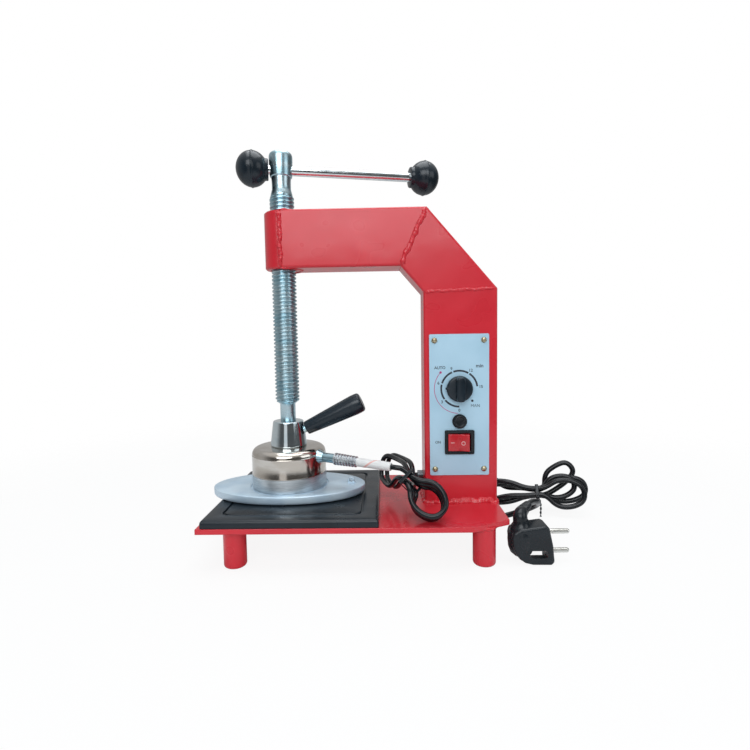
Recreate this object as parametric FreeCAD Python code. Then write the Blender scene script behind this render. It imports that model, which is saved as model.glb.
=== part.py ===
import FreeCAD, Part
import math
import os
from FreeCAD import Vector

# A bench press that vulcanizes a patch on a tyre: a red welded steel frame, a thick hand screw,
# an electric heating head, an aluminium mould, a rubber bed, and a control panel with a timer,
# a fuse and a rocker switch. Sizes are in millimetres. The floor is at z = 0, the front is -Y,
# and the origin is under the middle of the overall length.

os.makedirs("parts", exist_ok=True)

# Clearances
flat_gap = 0.3
shaft_gap = 0.05
hole_gap = 0.2
thread_gap = 0.3
screw_fit = 0.02

# Base plate and legs
plate_length = 299.0
plate_beside_pad = 0.5
plate_thickness = 5.0
plate_corner_along = 37.0
plate_corner_deep = 18.5
leg_diameter = 22.0
leg_height = 38.0
leg_round = 3.0
leg_inset_left = 32.0
leg_inset_right = 24.5
leg_inset_deep = 18.0

# Welded frame of rectangular tube
tube_depth = 40.0
tube_wall = 3.0
tube_round = 2.5
column_width = 77.0
arm_height = 60.0
brace_height = 60.0
brace_angle = 49.3
throat_height = 251.0
shoulder_height = 226.5
screw_from_left = 73.5
sleeve_diameter = 38.2
sleeve_chamfer = 1.5

# Rubber bed
pad_length = 169.0
pad_depth = 175.0
pad_thickness = 8.0
pad_from_left = 4.0
pad_round = 2.0
pad_groove_inset = 15.5
pad_groove_width = 2.2
pad_groove_depth = 1.2
pad_groove_corner = 7.0

# Aluminium mould
mould_length = 167.0
mould_width = 98.0
mould_thickness = 9.0
mould_bottom_round = 3.0
mould_top_round = 0.8
mould_ring_diameter = 84.0
mould_ring_width = 1.2
mould_ring_depth = 0.6
ear_width = 10.5
ear_height = 7.0
ear_thickness = 4.0
ear_hole = 3.8
ear_inset = 15.0

# Press screw, measured upwards
neck_diameter = 16.5
neck_length = 40.5
neck_groove_diameter = 13.5
neck_groove_bottom = 1.5
neck_groove_width = 6.0
thread_diameter = 26.0
thread_depth = 1.6
thread_pitch = 4.0
thread_crest = 1.0
thread_turns = 55
upper_neck_diameter = 21.0
upper_neck_length = 14.0
flare_length = 4.0
head_groove_diameter = 19.6
head_groove_width = 2.0
screw_head_diameter = 24.8
screw_head_height = 25.5
screw_head_round = 1.5
bar_rise = 7.4

# Tommy bar with its two knobs
bar_diameter = 10.0
bar_angle = 12.7
bar_inner_reach = 29.8
bar_outer_reach = 158.5
bar_in_knob = 12.0
knob_diameter = 39.0
knob_thickness = 33.5
knob_hub_diameter = 22.0
knob_hub_length = 3.5
knob_ridge = 0.8

# Heating head
heater_diameter = 80.8
heater_height = 14.5
spigot_height = 3.5
spigot_width = 3.0
element_circle = 28.0
element_diameter = 7.0
element_pin_diameter = 3.0
element_pin_height = 12.0
element_pin_spread = 12.0
cover_height = 29.0
cover_wall = 1.0
cover_shoulder = 8.0
thermostat_diameter = 13.6
thermostat_height = 7.0
thermostat_out = 17.3
thermostat_blade = 0.8
thermostat_blade_width = 4.0
insulation_thickness = 3.0
spacer_diameter = 19.0
bolt_diameter = 8.0
bolt_head_diameter = 13.0
bolt_head_height = 6.0
bolt_recess = 1.0
bolt_socket_depth = 4.0
bolt_socket_flats = 6.0

# Cone that holds the screw's neck, and its handle
cone_height = 27.5
cone_base_diameter = 40.0
cone_top_diameter = 32.8
cone_floor = 6.0
cone_round = 1.5
washer_thickness = 2.0
handle_angle = 25.0
handle_axis_drop = 18.2
stud_diameter = 8.0
stud_tip_diameter = 4.0
stud_tip_from = 8.8
stud_shank_from = 11.3
stud_in_grip = 30.0
grip_from = 22.2
grip_length = 68.0
grip_small_diameter = 15.0
grip_large_diameter = 22.0
grip_end_round = 3.0

# Cable outlet of the head
outlet_angle = 25.0
outlet_droop = 1.8
outlet_height = 34.0
stub_diameter = 10.0
stub_flare_diameter = 15.0
stub_flare_length = 5.0
stub_end = 59.0
relief_diameter = 12.8
relief_end_diameter = 11.4
relief_core_diameter = 9.4
relief_ribs = 7
relief_rib_width = 2.2
relief_end = 86.0
white_sleeve_diameter = 9.0
white_sleeve_end = 123.7
heater_cable_diameter = 5.3
outlet_core_from = 36.0

# Control panel on the column's front
panel_width = 62.3
panel_height = 149.4
panel_thickness = 1.2
panel_from_column = 5.5
panel_above_plate = 30.4
panel_window_margin = 9.5
panel_screw_inset = 5.4
panel_screw_inset_high = 6.6
panel_screw_head = 6.2
panel_screw_head_height = 2.4
panel_screw_diameter = 3.0
panel_screw_length = 8.0
panel_screw_slot = 0.8

# Timer
timer_above_panel_foot = 92.1
timer_body_size = 42.0
timer_body_depth = 24.0
timer_bush_diameter = 10.0
timer_bush_length = 4.2
timer_nut_flats = 14.0
timer_nut_thickness = 1.8
timer_shaft_diameter = 6.0
timer_shaft_inside = 12.0
timer_knob_diameter = 27.4
timer_knob_height = 15.0
timer_knob_off_panel = 0.6
timer_knob_taper = 1.2
timer_knob_recess_diameter = 19.0
timer_knob_recess_depth = 5.0
timer_knob_socket_depth = 6.0
timer_grip_width = 8.5
timer_grip_cut = 7.0

# Fuse holder
fuse_above_panel_foot = 57.8
fuse_flange_diameter = 15.2
fuse_flange_thickness = 2.4
fuse_body_diameter = 12.0
fuse_body_length = 31.0
fuse_bore_diameter = 9.0
fuse_bore_floor = 2.0
fuse_nut_flats = 16.0
fuse_nut_thickness = 3.0
fuse_cap_diameter = 12.8
fuse_cap_height = 3.6
fuse_cap_slot = 1.2
fuse_carrier_diameter = 8.4
fuse_carrier_length = 9.0
glass_diameter = 5.0
fuse_length = 20.0
fuse_end_length = 5.0
fuse_end_wall = 0.3

# Rocker switch
switch_above_panel_foot = 35.5
bezel_width = 31.0
bezel_height = 25.3
bezel_thickness = 2.0
bezel_round = 1.5
switch_body_width = 27.5
switch_body_height = 21.8
switch_body_depth = 21.0
switch_well_depth = 12.0
rocker_width = 25.0
rocker_height = 19.2
rocker_angle = 9.0
rocker_back = 6.5
rocker_front = 2.2
rocker_pin_diameter = 3.0
rocker_pin_length = 1.6
switch_blades = 4
switch_blade_width = 4.8
switch_blade_thickness = 0.8
switch_blade_length = 8.0

# Terminal block and earth screw inside the column
block_width = 34.0
block_height = 13.0
block_depth = 14.0
block_above_plate = 44.0
block_screws = 3
block_screw_diameter = 4.0
block_screw_height = 1.5
earth_above_plate = 20.0
earth_from_column = 18.0
earth_diameter = 4.0
earth_length = 11.0
earth_flats = 7.0
earth_nut_thickness = 3.0

# Cable entries
entry_diameter = 10.0
entry_bore = 6.2
entry_outside = 6.0
entry_inside = 3.0
entry_above_plate = 23.0
entry_behind_middle = 8.0
gland_above_plate = 22.0
gland_from_column = 40.5
gland_flange_diameter = 17.0
gland_flange_thickness = 4.0
gland_tail_length = 22.0
gland_tail_root = 12.5
gland_tail_tip = 9.0
gland_inside = 6.0
gland_thread_diameter = 11.0

# Cords
mains_diameter = 6.4
mains_strand_gap = 1.1
mains_lobe_gap = 0.1
heater_strand_gap = 1.8
heater_lobe_gap = 1.1
tie_width = 4.0
tie_thickness = 1.0
mains_tie_slack = 0.8
heater_tie_slack = 1.8
tie_tail_length = 20.0
heater_lead_lift = 0.6
heater_lead_aside = 0.8
heater_tail_along = 18.0
heater_tail_across = 0.8
mains_start_along = 24.0
mains_start_across = 0.8
mains_finish_along = 16.0
mains_finish_across = 0.65

# Plug
plug_left = 155.5
plug_y = -65.0
plug_length = 41.0
plug_height = 41.0
plug_thickness = 28.0
plug_round = 2.0
plug_belly = 16.0
plug_neck_from = 10.5
plug_neck_rise = 6.0
plug_neck_diameter = 14.5
plug_elbow_diameter = 12.6
plug_relief_length = 30.0
plug_relief_end = 8.6
plug_slot_from = 17.0
plug_slot_bottom = 7.5
plug_slot_length = 17.5
plug_slot_height = 6.0
plug_pin_diameter = 4.8
plug_pin_length = 17.0
plug_pin_spacing = 19.0
plug_pin_inside = 5.5
plug_pin_root_diameter = 4.4
plug_pin_root_outside = 0.3

# Places that follow from the dimensions
overall_length = mould_length / 2 + plate_length - screw_from_left
right_x = overall_length / 2
left_x = right_x - plate_length
screw_x = left_x + screw_from_left
half_depth = pad_depth / 2 + plate_beside_pad
half_tube = tube_depth / 2
plate_top = leg_height + plate_thickness
column_left = right_x - column_width
arm_bottom = plate_top + throat_height
arm_top = arm_bottom + arm_height
pad_top = plate_top + pad_thickness
mould_top = pad_top + mould_thickness
heater_bottom = mould_top
heater_top = heater_bottom + heater_height
cover_top = heater_top + cover_height
cone_top = cover_top + cone_height
bore_floor = cover_top + cone_floor
neck_end = bore_floor + washer_thickness
thread_start = neck_end + neck_length
thread_end = thread_start + thread_pitch * thread_turns
screw_head_bottom = thread_end + flare_length + upper_neck_length + head_groove_width
bar_z = screw_head_bottom + bar_rise
panel_left = column_left + panel_from_column
panel_x = panel_left + panel_width / 2
panel_bottom = plate_top + panel_above_plate
panel_front = -half_tube - panel_thickness
entry_point = Vector(column_left - entry_outside, entry_behind_middle, plate_top + entry_above_plate)
gland_x = column_left + gland_from_column
gland_z = plate_top + gland_above_plate

UP = Vector(0, 0, 1)
RIGHT = Vector(1, 0, 0)
BACK = Vector(0, 1, 0)


def box(x0, x1, y0, y1, z0, z1):
    """A block between two opposite corners."""
    return Part.makeBox(x1 - x0, y1 - y0, z1 - z0, Vector(x0, y0, z0))


def rod(start, direction, length, diameter):
    """A round bar from a point along a direction."""
    return Part.makeCylinder(diameter / 2, length, start, direction)


def taper(start, direction, length, first, last):
    """A round bar whose diameter changes steadily from first to last."""
    return Part.makeCone(first / 2, last / 2, length, start, direction)


def turned(points, base, axis=UP):
    """A turned piece: (radius, height) points joined by lines, spun about an axis through base.

    A point written as (radius, height, radius, height) is an arc's middle and then its end.
    """
    edges = []
    last = Vector(points[0][0], 0, points[0][1])
    for item in points[1:] + [points[0]]:
        end = Vector(item[-2], 0, item[-1])
        if len(item) == 4:
            middle = Vector(item[0], 0, item[1])
            edges.append(Part.Arc(last, middle, end).toShape())
        elif end.distanceToPoint(last) > 1e-6:
            edges.append(Part.LineSegment(last, end).toShape())
        last = end
    face = Part.Face(Part.Wire(edges))
    solid = face.revolve(Vector(0, 0, 0), UP, 360)
    solid.Placement = FreeCAD.Placement(base, FreeCAD.Rotation(UP, axis))
    return solid


def round_corner(radius_at, height_at, round_size):
    """The (middle, end) item of a quarter round on a turned piece's top outer edge."""
    step = round_size * (1 - math.sqrt(0.5))
    return (radius_at - step, height_at - step, radius_at - round_size, height_at)


def dome(radius, foot, top, stop=0.0):
    """The (middle, end) item of a spherical dome from (radius, foot) towards (0, top)."""
    ball = ((top - foot) ** 2 + radius ** 2) / (2 * (top - foot))
    centre = top - ball
    first = math.atan2(foot - centre, radius)
    last = math.acos(stop / ball)
    middle = (first + last) / 2
    return (ball * math.cos(middle), centre + ball * math.sin(middle),
            stop, centre + ball * math.sin(last))


def rounded(shape, size, keep):
    """Rounds the edges of a shape for which keep(edge) is true."""
    edges = [edge for edge in shape.Edges if keep(edge)]
    return shape.makeFillet(size, edges)


def runs_along(edge, axis):
    """True for a straight edge along an axis."""
    if len(edge.Vertexes) < 2:
        return False
    way = edge.Vertexes[1].Point - edge.Vertexes[0].Point
    straight = abs(edge.Length - way.Length) < 1e-6
    return straight and way.cross(axis).Length < 1e-6 * max(way.Length, 1)


def prism(points, depth_from, depth_to):
    """A plate outlined in the XZ plane and thick along Y."""
    corners = [Vector(x, depth_from, z) for x, z in points]
    face = Part.Face(Part.makePolygon(corners + [corners[0]]))
    return face.extrude(Vector(0, depth_to - depth_from, 0))


def slab(points, bottom, top):
    """A plate outlined in the XY plane and thick along Z."""
    corners = [Vector(x, y, bottom) for x, y in points]
    face = Part.Face(Part.makePolygon(corners + [corners[0]]))
    return face.extrude(Vector(0, 0, top - bottom))


def hexagon(centre, axis, flats, length):
    """A hexagonal bar."""
    corner = flats / math.sqrt(3)
    ring = []
    for turn in range(7):
        angle = math.radians(60 * turn)
        ring.append(Vector(corner * math.cos(angle), corner * math.sin(angle), 0))
    bar = Part.Face(Part.makePolygon(ring)).extrude(UP * length)
    bar.Placement = FreeCAD.Placement(centre, FreeCAD.Rotation(UP, axis))
    return bar


def save(node, *solids):
    """Writes one node, a single solid or a group of separate ones."""
    shape = solids[0] if len(solids) == 1 else Part.makeCompound(list(solids))
    if not shape.isValid():
        print("not valid:", node)
    shape.exportStep("parts/%s.step" % node)
    return shape


def arc_through(start, corner, end):
    """The round edge that leaves start towards corner and reaches end from corner."""
    chord = (start + end) * 0.5
    half = start.distanceToPoint(end) / 2
    reach = start.distanceToPoint(corner)
    half_turn = math.acos(min(1.0, half / reach))
    if half_turn < 0.01:
        return Part.LineSegment(start, end).toShape(), 1e6
    lift = half * math.tan(half_turn / 2)
    middle = chord + (corner - chord).normalize() * lift
    return Part.Arc(start, middle, end).toShape(), half / math.sin(half_turn)


def bent_path(points):
    """Straight runs joined by tangent arcs, each as large as its two runs allow."""
    edges = []
    radii = []
    last = points[0]
    for before, corner, after in zip(points, points[1:], points[2:]):
        into = corner - before
        out = after - corner
        trim = 0.45 * min(into.Length, out.Length)
        start = corner - Vector(into).normalize() * trim
        end = corner + Vector(out).normalize() * trim
        arc, radius = arc_through(start, corner, end)
        edges.append(Part.LineSegment(last, start).toShape())
        edges.append(arc)
        radii.append(radius)
        last = end
    edges.append(Part.LineSegment(last, points[-1]).toShape())
    return edges, radii


def station_path(stations):
    """Pairs of arcs through (place, direction) stations, tangent at every station."""
    edges = []
    radii = []
    for (p0, t0), (p1, t1) in zip(stations, stations[1:]):
        way = p1 - p0
        both = t0 + t1
        spread = 2 * (1 - t0.dot(t1))
        along = way.dot(both)
        if way.cross(t0).Length < 1e-4 and way.cross(t1).Length < 1e-4:
            edges.append(Part.LineSegment(p0, p1).toShape())
            continue
        if spread < 1e-9:
            reach = way.dot(way) / (4 * way.dot(t1))
        else:
            reach = (math.sqrt(along * along + spread * way.dot(way)) - along) / spread
        first = p0 + t0 * reach
        second = p1 - t1 * reach
        joint = (first + second) * 0.5
        for piece in (arc_through(p0, first, joint), arc_through(joint, second, p1)):
            edges.append(piece[0])
            radii.append(piece[1])
    return edges, radii


def tube_along(name, path, diameter):
    """A round cord along a path, with its length, least radius and volume printed."""
    edges, radii = path
    wire = Part.Wire(edges)
    first = edges[0]
    start = first.valueAt(first.FirstParameter)
    way = first.tangentAt(first.FirstParameter)
    section = Part.Wire(Part.makeCircle(diameter / 2, start, way))
    solid = wire.makePipeShell([section], True, False)
    expected = math.pi * diameter ** 2 / 4 * wire.Length
    least = min(radii) if radii else 0
    print("%s: length %.0f, least radius %.1f (%.1f diameters), volume over section x length %.4f"
          % (name, wire.Length, least, least / diameter, solid.Volume / expected))
    return solid, wire


def least_gap(name, wire, diameter):
    """Measures on points how near a wound cord comes to itself, and prints it."""
    places = []
    for edge in wire.OrderedEdges:
        count = max(2, int(edge.Length / 2.0))
        span = edge.LastParameter - edge.FirstParameter
        row = [edge.valueAt(edge.FirstParameter + span * k / count) for k in range(count)]
        if edge.Orientation == "Reversed":
            row = row[::-1]
        places.extend(row)
    travelled = [0.0]
    for a, b in zip(places, places[1:]):
        travelled.append(travelled[-1] + a.distanceToPoint(b))
    nearest = 1e9
    for i, a in enumerate(places):
        for j in range(i + 1, len(places)):
            if travelled[j] - travelled[i] < 5 * diameter:
                continue
            b = places[j]
            if abs(a.x - b.x) < nearest and abs(a.y - b.y) < nearest:
                nearest = min(nearest, a.distanceToPoint(b))
    print("%s: least gap to itself %.2f" % (name, nearest - diameter))


def lobe(out, top_hint, stack_way, reach, half, lean, first, second):
    """One lobe of a hank: its own axes, and a reach, half width and lean for each loop.

    first and second say how far out each loop is widest, as shares of its reach.
    """
    out = Vector(out).normalize()
    top = (top_hint - out * top_hint.dot(out)).normalize()
    return {"out": out, "top": top, "stack": out.cross(top) * stack_way, "reach": reach,
            "half": half, "lean": lean, "first": first, "second": second}


def in_lobe(waist, side, along, across, layer, lean=0):
    """A place in a lobe, with the lobe's leaning axes there."""
    leaning = FreeCAD.Rotation(side["stack"], lean)
    out = leaning.multVec(side["out"])
    top = leaning.multVec(side["top"])
    return waist + out * along + top * across + side["stack"] * layer, out, top


def hank_stations(waist, axis, top, stack, right, left, spacing, lobe_spacing, start, finish):
    """Stations of a hank that is drawn in at its waist.

    The cord comes in along the waist's top row, folds round the right lobe, crosses the waist
    below, folds round the left lobe, and climbs one layer on the way back, once for each loop.
    start takes the place of the first station at the waist, and finish follows the last one.
    """
    folds = len(right["reach"])
    stations = []
    for fold in range(folds):
        step = fold - (folds - 1) / 2
        row = stack * step * spacing
        layer = step * lobe_spacing
        stations.extend(start if fold == 0 else [(waist + top * (spacing / 2) + row, axis)])
        reach = right["reach"][fold]
        half = right["half"][fold]
        lean = right["lean"][fold]
        place, out, up = in_lobe(waist, right, reach * right["first"], half, layer, lean)
        stations.append((place, out))
        stations.append((in_lobe(waist, right, reach, 0, layer, lean)[0], up * -1))
        place = in_lobe(waist, right, reach * right["second"], -half, layer, lean)[0]
        stations.append((place, out * -1))
        stations.append((waist - top * (spacing / 2) + row, axis * -1))
        if fold == folds - 1:
            stations.extend(finish)
            continue
        reach = left["reach"][fold]
        half = left["half"][fold]
        climbed = layer + lobe_spacing
        place, out, up = in_lobe(waist, left, reach * left["first"], -half, layer)
        stations.append((place, out))
        stations.append((in_lobe(waist, left, reach, 0, layer)[0], up))
        place = in_lobe(waist, left, reach * left["second"], half, climbed)[0]
        stations.append((place, out * -1))
    return stations


def tie_band(waist, axis, top, stack, folds, spacing, diameter, slack):
    """A flat band round the strands at a hank's waist."""
    wide = (folds - 1) * spacing + diameter + 2 * slack
    high = spacing + diameter + 2 * slack
    outer_wide = wide + 2 * tie_thickness
    outer_high = high + 2 * tie_thickness
    outer = Part.makeBox(outer_wide, outer_high, tie_width,
                         Vector(-outer_wide / 2, -outer_high / 2, -tie_width / 2))
    outer = rounded(outer, 2 * tie_thickness, lambda edge: runs_along(edge, UP))
    inner = Part.makeBox(wide, high, tie_width + 2, Vector(-wide / 2, -high / 2, -tie_width / 2 - 1))
    inner = rounded(inner, tie_thickness, lambda edge: runs_along(edge, UP))
    band = outer.cut(inner)
    across = stack if stack.cross(top).dot(axis) > 0 else stack * -1
    band.Placement = FreeCAD.Placement(FreeCAD.Matrix(
        across.x, top.x, axis.x, waist.x,
        across.y, top.y, axis.y, waist.y,
        across.z, top.z, axis.z, waist.z,
        0, 0, 0, 1))
    return band


# Base plate with its two right corners cut off
plate = slab([
    (left_x, -half_depth), (right_x - plate_corner_along, -half_depth),
    (right_x, -half_depth + plate_corner_deep), (right_x, half_depth - plate_corner_deep),
    (right_x - plate_corner_along, half_depth), (left_x, half_depth)],
    leg_height, plate_top)
save("base_plate", plate)

# Four legs of round bar, welded under the plate
legs = []
for leg_x in (left_x + leg_inset_left, right_x - leg_inset_right):
    for leg_y in (-half_depth + leg_inset_deep, half_depth - leg_inset_deep):
        leg = turned([
            (0, leg_height), (0, 0), (leg_diameter / 2 - leg_round, 0),
            (leg_diameter / 2 - leg_round * (1 - math.sqrt(0.5)), leg_round * (1 - math.sqrt(0.5)),
             leg_diameter / 2, leg_round),
            (leg_diameter / 2, leg_height)],
            Vector(leg_x, leg_y, 0))
        legs.append(leg)
save("legs", *legs)

# Column, brace and arm: three lengths of rectangular tube, mitred and welded
turn = math.radians(brace_angle)
brace_way = Vector(math.cos(turn), 0, -math.sin(turn))
brace_in = Vector(-math.sin(turn), 0, -math.cos(turn))
low_outer = Vector(right_x, 0, plate_top + shoulder_height)
high_outer = low_outer - brace_way * ((arm_top - low_outer.z) / math.sin(turn))
inner_line = high_outer + brace_in * brace_height
high_inner = inner_line + brace_way * ((inner_line.z - arm_bottom) / math.sin(turn))
low_inner = inner_line + brace_way * ((column_left - inner_line.x) / math.cos(turn))


def frame_tube(start, way, inward, length, height):
    """Rectangular tube: start is on its outer face, inward points across its height."""
    depth_way = way.cross(inward).normalize()
    matrix = FreeCAD.Matrix(
        way.x, inward.x, depth_way.x, start.x,
        way.y, inward.y, depth_way.y, start.y,
        way.z, inward.z, depth_way.z, start.z,
        0, 0, 0, 1)
    outer = Part.makeBox(length, height, tube_depth, Vector(0, 0, -half_tube))
    outer = rounded(outer, tube_round, lambda edge: runs_along(edge, RIGHT))
    inner = Part.makeBox(length + 2, height - 2 * tube_wall, tube_depth - 2 * tube_wall,
                         Vector(-1, tube_wall, tube_wall - half_tube))
    tube = outer.cut(inner)
    tube.Placement = FreeCAD.Placement(matrix)
    return tube


def beyond(outer_point, inner_point, toward):
    """A large block on one side of the mitre plane through two corner lines."""
    line = (inner_point - outer_point).normalize()
    normal = BACK.cross(line)
    if normal.dot(toward) < 0:
        normal = normal * -1
    size = 4 * overall_length
    middle = outer_point - line * (size / 2) - BACK * (size / 2)
    corners = [middle, middle + line * size, middle + line * size + BACK * size, middle + BACK * size]
    face = Part.Face(Part.makePolygon(corners + [middle]))
    return face.extrude(normal * size)


brace_span = (low_outer - high_outer).Length
column = frame_tube(Vector(right_x, 0, plate_top), UP, RIGHT * -1, arm_top, column_width)
column = column.cut(beyond(low_outer, low_inner, UP))
brace = frame_tube(high_outer - brace_way * brace_height, brace_way, brace_in,
                   brace_span + 2 * brace_height, brace_height)
brace = brace.cut(beyond(high_outer, high_inner, RIGHT * -1))
brace = brace.cut(beyond(low_outer, low_inner, UP * -1))
arm = frame_tube(Vector(screw_x, 0, arm_top), RIGHT, UP * -1, overall_length, arm_height)
arm = arm.cut(beyond(high_outer, high_inner, RIGHT))
sleeve_hole = rod(Vector(screw_x, 0, arm_bottom - 1), UP, arm_height + 2, sleeve_diameter)
arm = arm.cut(sleeve_hole)
arm = max(arm.Solids, key=lambda solid: solid.Volume)
save("arm_tube", arm)
save("brace_tube", brace)

window_bottom = panel_bottom + panel_window_margin
window_top = panel_bottom + panel_height - panel_window_margin
window = box(panel_left + panel_window_margin, panel_left + panel_width - panel_window_margin,
             -half_tube - 1, -half_tube + tube_wall + 1, window_bottom, window_top)
column = column.cut(window)
column = column.cut(rod(entry_point, RIGHT, entry_outside + tube_wall + 1, entry_diameter + hole_gap))
column = column.cut(rod(Vector(gland_x, half_tube - tube_wall - 1, gland_z), BACK, tube_wall + 2,
                        gland_thread_diameter + hole_gap))
earth_place = Vector(column_left + earth_from_column, half_tube - tube_wall - 1,
                     plate_top + earth_above_plate)
column = column.cut(rod(earth_place, BACK, tube_wall + 2, earth_diameter + hole_gap))
panel_holes = []
for hole_x in (panel_left + panel_screw_inset, panel_left + panel_width - panel_screw_inset):
    for hole_z in (panel_bottom + panel_screw_inset_high,
                   panel_bottom + panel_height - panel_screw_inset_high):
        panel_holes.append((hole_x, hole_z))
for hole_x, hole_z in panel_holes:
    column = column.cut(rod(Vector(hole_x, panel_front - 1, hole_z), BACK,
                            tube_wall + panel_thickness + 2, panel_screw_diameter + 2 * screw_fit))
save("column_tube", column)

# Threaded sleeve at the arm's end. Its thread is left as a plain bore over the screw's crests.
sleeve_bore = thread_diameter + 2 * thread_gap
sleeve = turned([
    (sleeve_bore / 2, arm_bottom), (sleeve_diameter / 2 - sleeve_chamfer, arm_bottom),
    (sleeve_diameter / 2, arm_bottom + sleeve_chamfer),
    (sleeve_diameter / 2, arm_top - sleeve_chamfer),
    (sleeve_diameter / 2 - sleeve_chamfer, arm_top), (sleeve_bore / 2, arm_top)],
    Vector(screw_x, 0, 0))
save("threaded_sleeve", sleeve)

# Rubber bed with a moulded groove round its middle field
pad_left = left_x + pad_from_left
pad_right = pad_left + pad_length
pad = box(pad_left, pad_right, -pad_depth / 2, pad_depth / 2, plate_top, pad_top)
pad = rounded(pad, pad_round, lambda edge: edge.BoundBox.ZMin > pad_top - 0.01)


def ring_band(inset, width, corner, bottom, top):
    """A rectangular ring with round corners, for the groove in the rubber bed."""
    outer = box(pad_left + inset, pad_right - inset, -pad_depth / 2 + inset, pad_depth / 2 - inset,
                bottom, top)
    deep = inset + width
    inner = box(pad_left + deep, pad_right - deep, -pad_depth / 2 + deep, pad_depth / 2 - deep,
                bottom - 1, top + 1)
    outer = rounded(outer, corner, lambda edge: runs_along(edge, UP))
    inner = rounded(inner, corner - width, lambda edge: runs_along(edge, UP))
    return outer.cut(inner)


pad = pad.cut(ring_band(pad_groove_inset, pad_groove_width, pad_groove_corner,
                        pad_top - pad_groove_depth, pad_top + 1))
save("rubber_pad", pad)

# Aluminium mould: an oval plate with a turned ring round the head and an ear at its right end
oval = Part.Ellipse(Vector(screw_x, 0, pad_top), mould_length / 2, mould_width / 2).toShape()
mould = Part.Face(Part.Wire(oval)).extrude(UP * mould_thickness)
mould = mould.makeFillet(mould_bottom_round,
                         [e for e in mould.Edges if e.BoundBox.ZMax < pad_top + 0.01])
mould = mould.makeFillet(mould_top_round,
                         [e for e in mould.Edges if e.BoundBox.ZMin > mould_top - 0.01])
ring_foot = Vector(screw_x, 0, mould_top - mould_ring_depth)
ring_cut = rod(ring_foot, UP, mould_ring_depth + 1, mould_ring_diameter + 2 * mould_ring_width)
mould = mould.cut(ring_cut.cut(rod(ring_foot, UP, mould_ring_depth + 1, mould_ring_diameter)))
ear_x = screw_x + mould_length / 2 - ear_inset
ear_centre_z = mould_top + ear_height - ear_width / 2
ear = box(ear_x - ear_width / 2, ear_x + ear_width / 2, -ear_thickness / 2, ear_thickness / 2,
          mould_top - 1, ear_centre_z)
ear = ear.fuse(rod(Vector(ear_x, -ear_thickness / 2, ear_centre_z), BACK, ear_thickness, ear_width))
ear = ear.common(box(ear_x - ear_width, ear_x + ear_width, -ear_thickness, ear_thickness,
                     mould_top - 1, mould_top + ear_height))
mould = mould.fuse(ear).removeSplitter()
mould = mould.cut(rod(Vector(ear_x, -ear_thickness, ear_centre_z), BACK, 2 * ear_thickness, ear_hole))
save("aluminium_mould", mould)

# Press screw, turned in one piece, with ring-shaped grooves for its thread
crest = thread_diameter / 2
root = crest - thread_depth
neck = neck_diameter / 2
flank = (thread_pitch - thread_crest) / 2 - thread_crest / 2
profile = [
    (0, neck_end), (neck, neck_end), (neck, neck_end + neck_groove_bottom),
    (neck_groove_diameter / 2, neck_end + neck_groove_bottom),
    (neck_groove_diameter / 2, neck_end + neck_groove_bottom + neck_groove_width),
    (neck, neck_end + neck_groove_bottom + neck_groove_width),
    (neck, thread_start - thread_depth), (root, thread_start - thread_depth)]
for ring in range(thread_turns):
    foot = thread_start + ring * thread_pitch
    profile.append((root, foot + thread_crest / 2))
    profile.append((crest, foot + thread_crest / 2 + flank))
    profile.append((crest, foot + thread_crest * 1.5 + flank))
    profile.append((root, foot + thread_crest * 1.5 + 2 * flank))
upper_neck = upper_neck_diameter / 2
flare_end = thread_end + flare_length
groove_start = flare_end + upper_neck_length
head_radius = screw_head_diameter / 2
screw_top = screw_head_bottom + screw_head_height
profile.extend([
    (root, thread_end), (crest - 0.4, thread_end + 0.6), (upper_neck, flare_end),
    (upper_neck, groove_start), (head_groove_diameter / 2, groove_start),
    (head_groove_diameter / 2, screw_head_bottom), (head_radius, screw_head_bottom),
    (head_radius, screw_top - screw_head_round),
    round_corner(head_radius, screw_top, screw_head_round), (0, screw_top)])
screw = turned(profile, Vector(screw_x, 0, 0))
bar_turn = math.radians(bar_angle)
bar_way = Vector(math.cos(bar_turn), math.sin(bar_turn), 0)
bar_middle = Vector(screw_x, 0, bar_z)
cross_hole = rod(bar_middle - bar_way * screw_head_diameter, bar_way, 2 * screw_head_diameter,
                 bar_diameter + 2 * shaft_gap)
screw = screw.cut(cross_hole)
save("press_screw", screw)

# Tommy bar and its two round knobs
bar_start = bar_inner_reach - knob_thickness / 2 + bar_in_knob
bar_end = bar_outer_reach - knob_thickness / 2 + bar_in_knob
bar = rod(bar_middle - bar_way * bar_start, bar_way, bar_start + bar_end, bar_diameter)
save("tommy_bar", bar)


def knob(centre, way):
    """A two-domed knob with a thin moulding ridge; way points from the knob out of the bar's end."""
    half = knob_thickness / 2
    radius = knob_diameter / 2
    hub = knob_hub_diameter / 2
    bore = bar_diameter / 2 + shaft_gap
    depth = bar_in_knob + shaft_gap
    inner = radius - knob_ridge
    side_mid = dome(inner, knob_ridge, half, hub)
    side_z = side_mid[3]
    return turned([
        (bore, -half), (hub, -half), (hub, -side_z),
        (side_mid[0], -side_mid[1], inner, -knob_ridge), (radius, -knob_ridge / 2),
        (radius, knob_ridge / 2), (inner, knob_ridge), dome(inner, knob_ridge, half),
        (0, -half + depth), (bore, -half + depth)],
        centre, way)


save("bar_knobs",
     knob(bar_middle - bar_way * bar_inner_reach, bar_way * -1),
     knob(bar_middle + bar_way * bar_outer_reach, bar_way))

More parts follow.
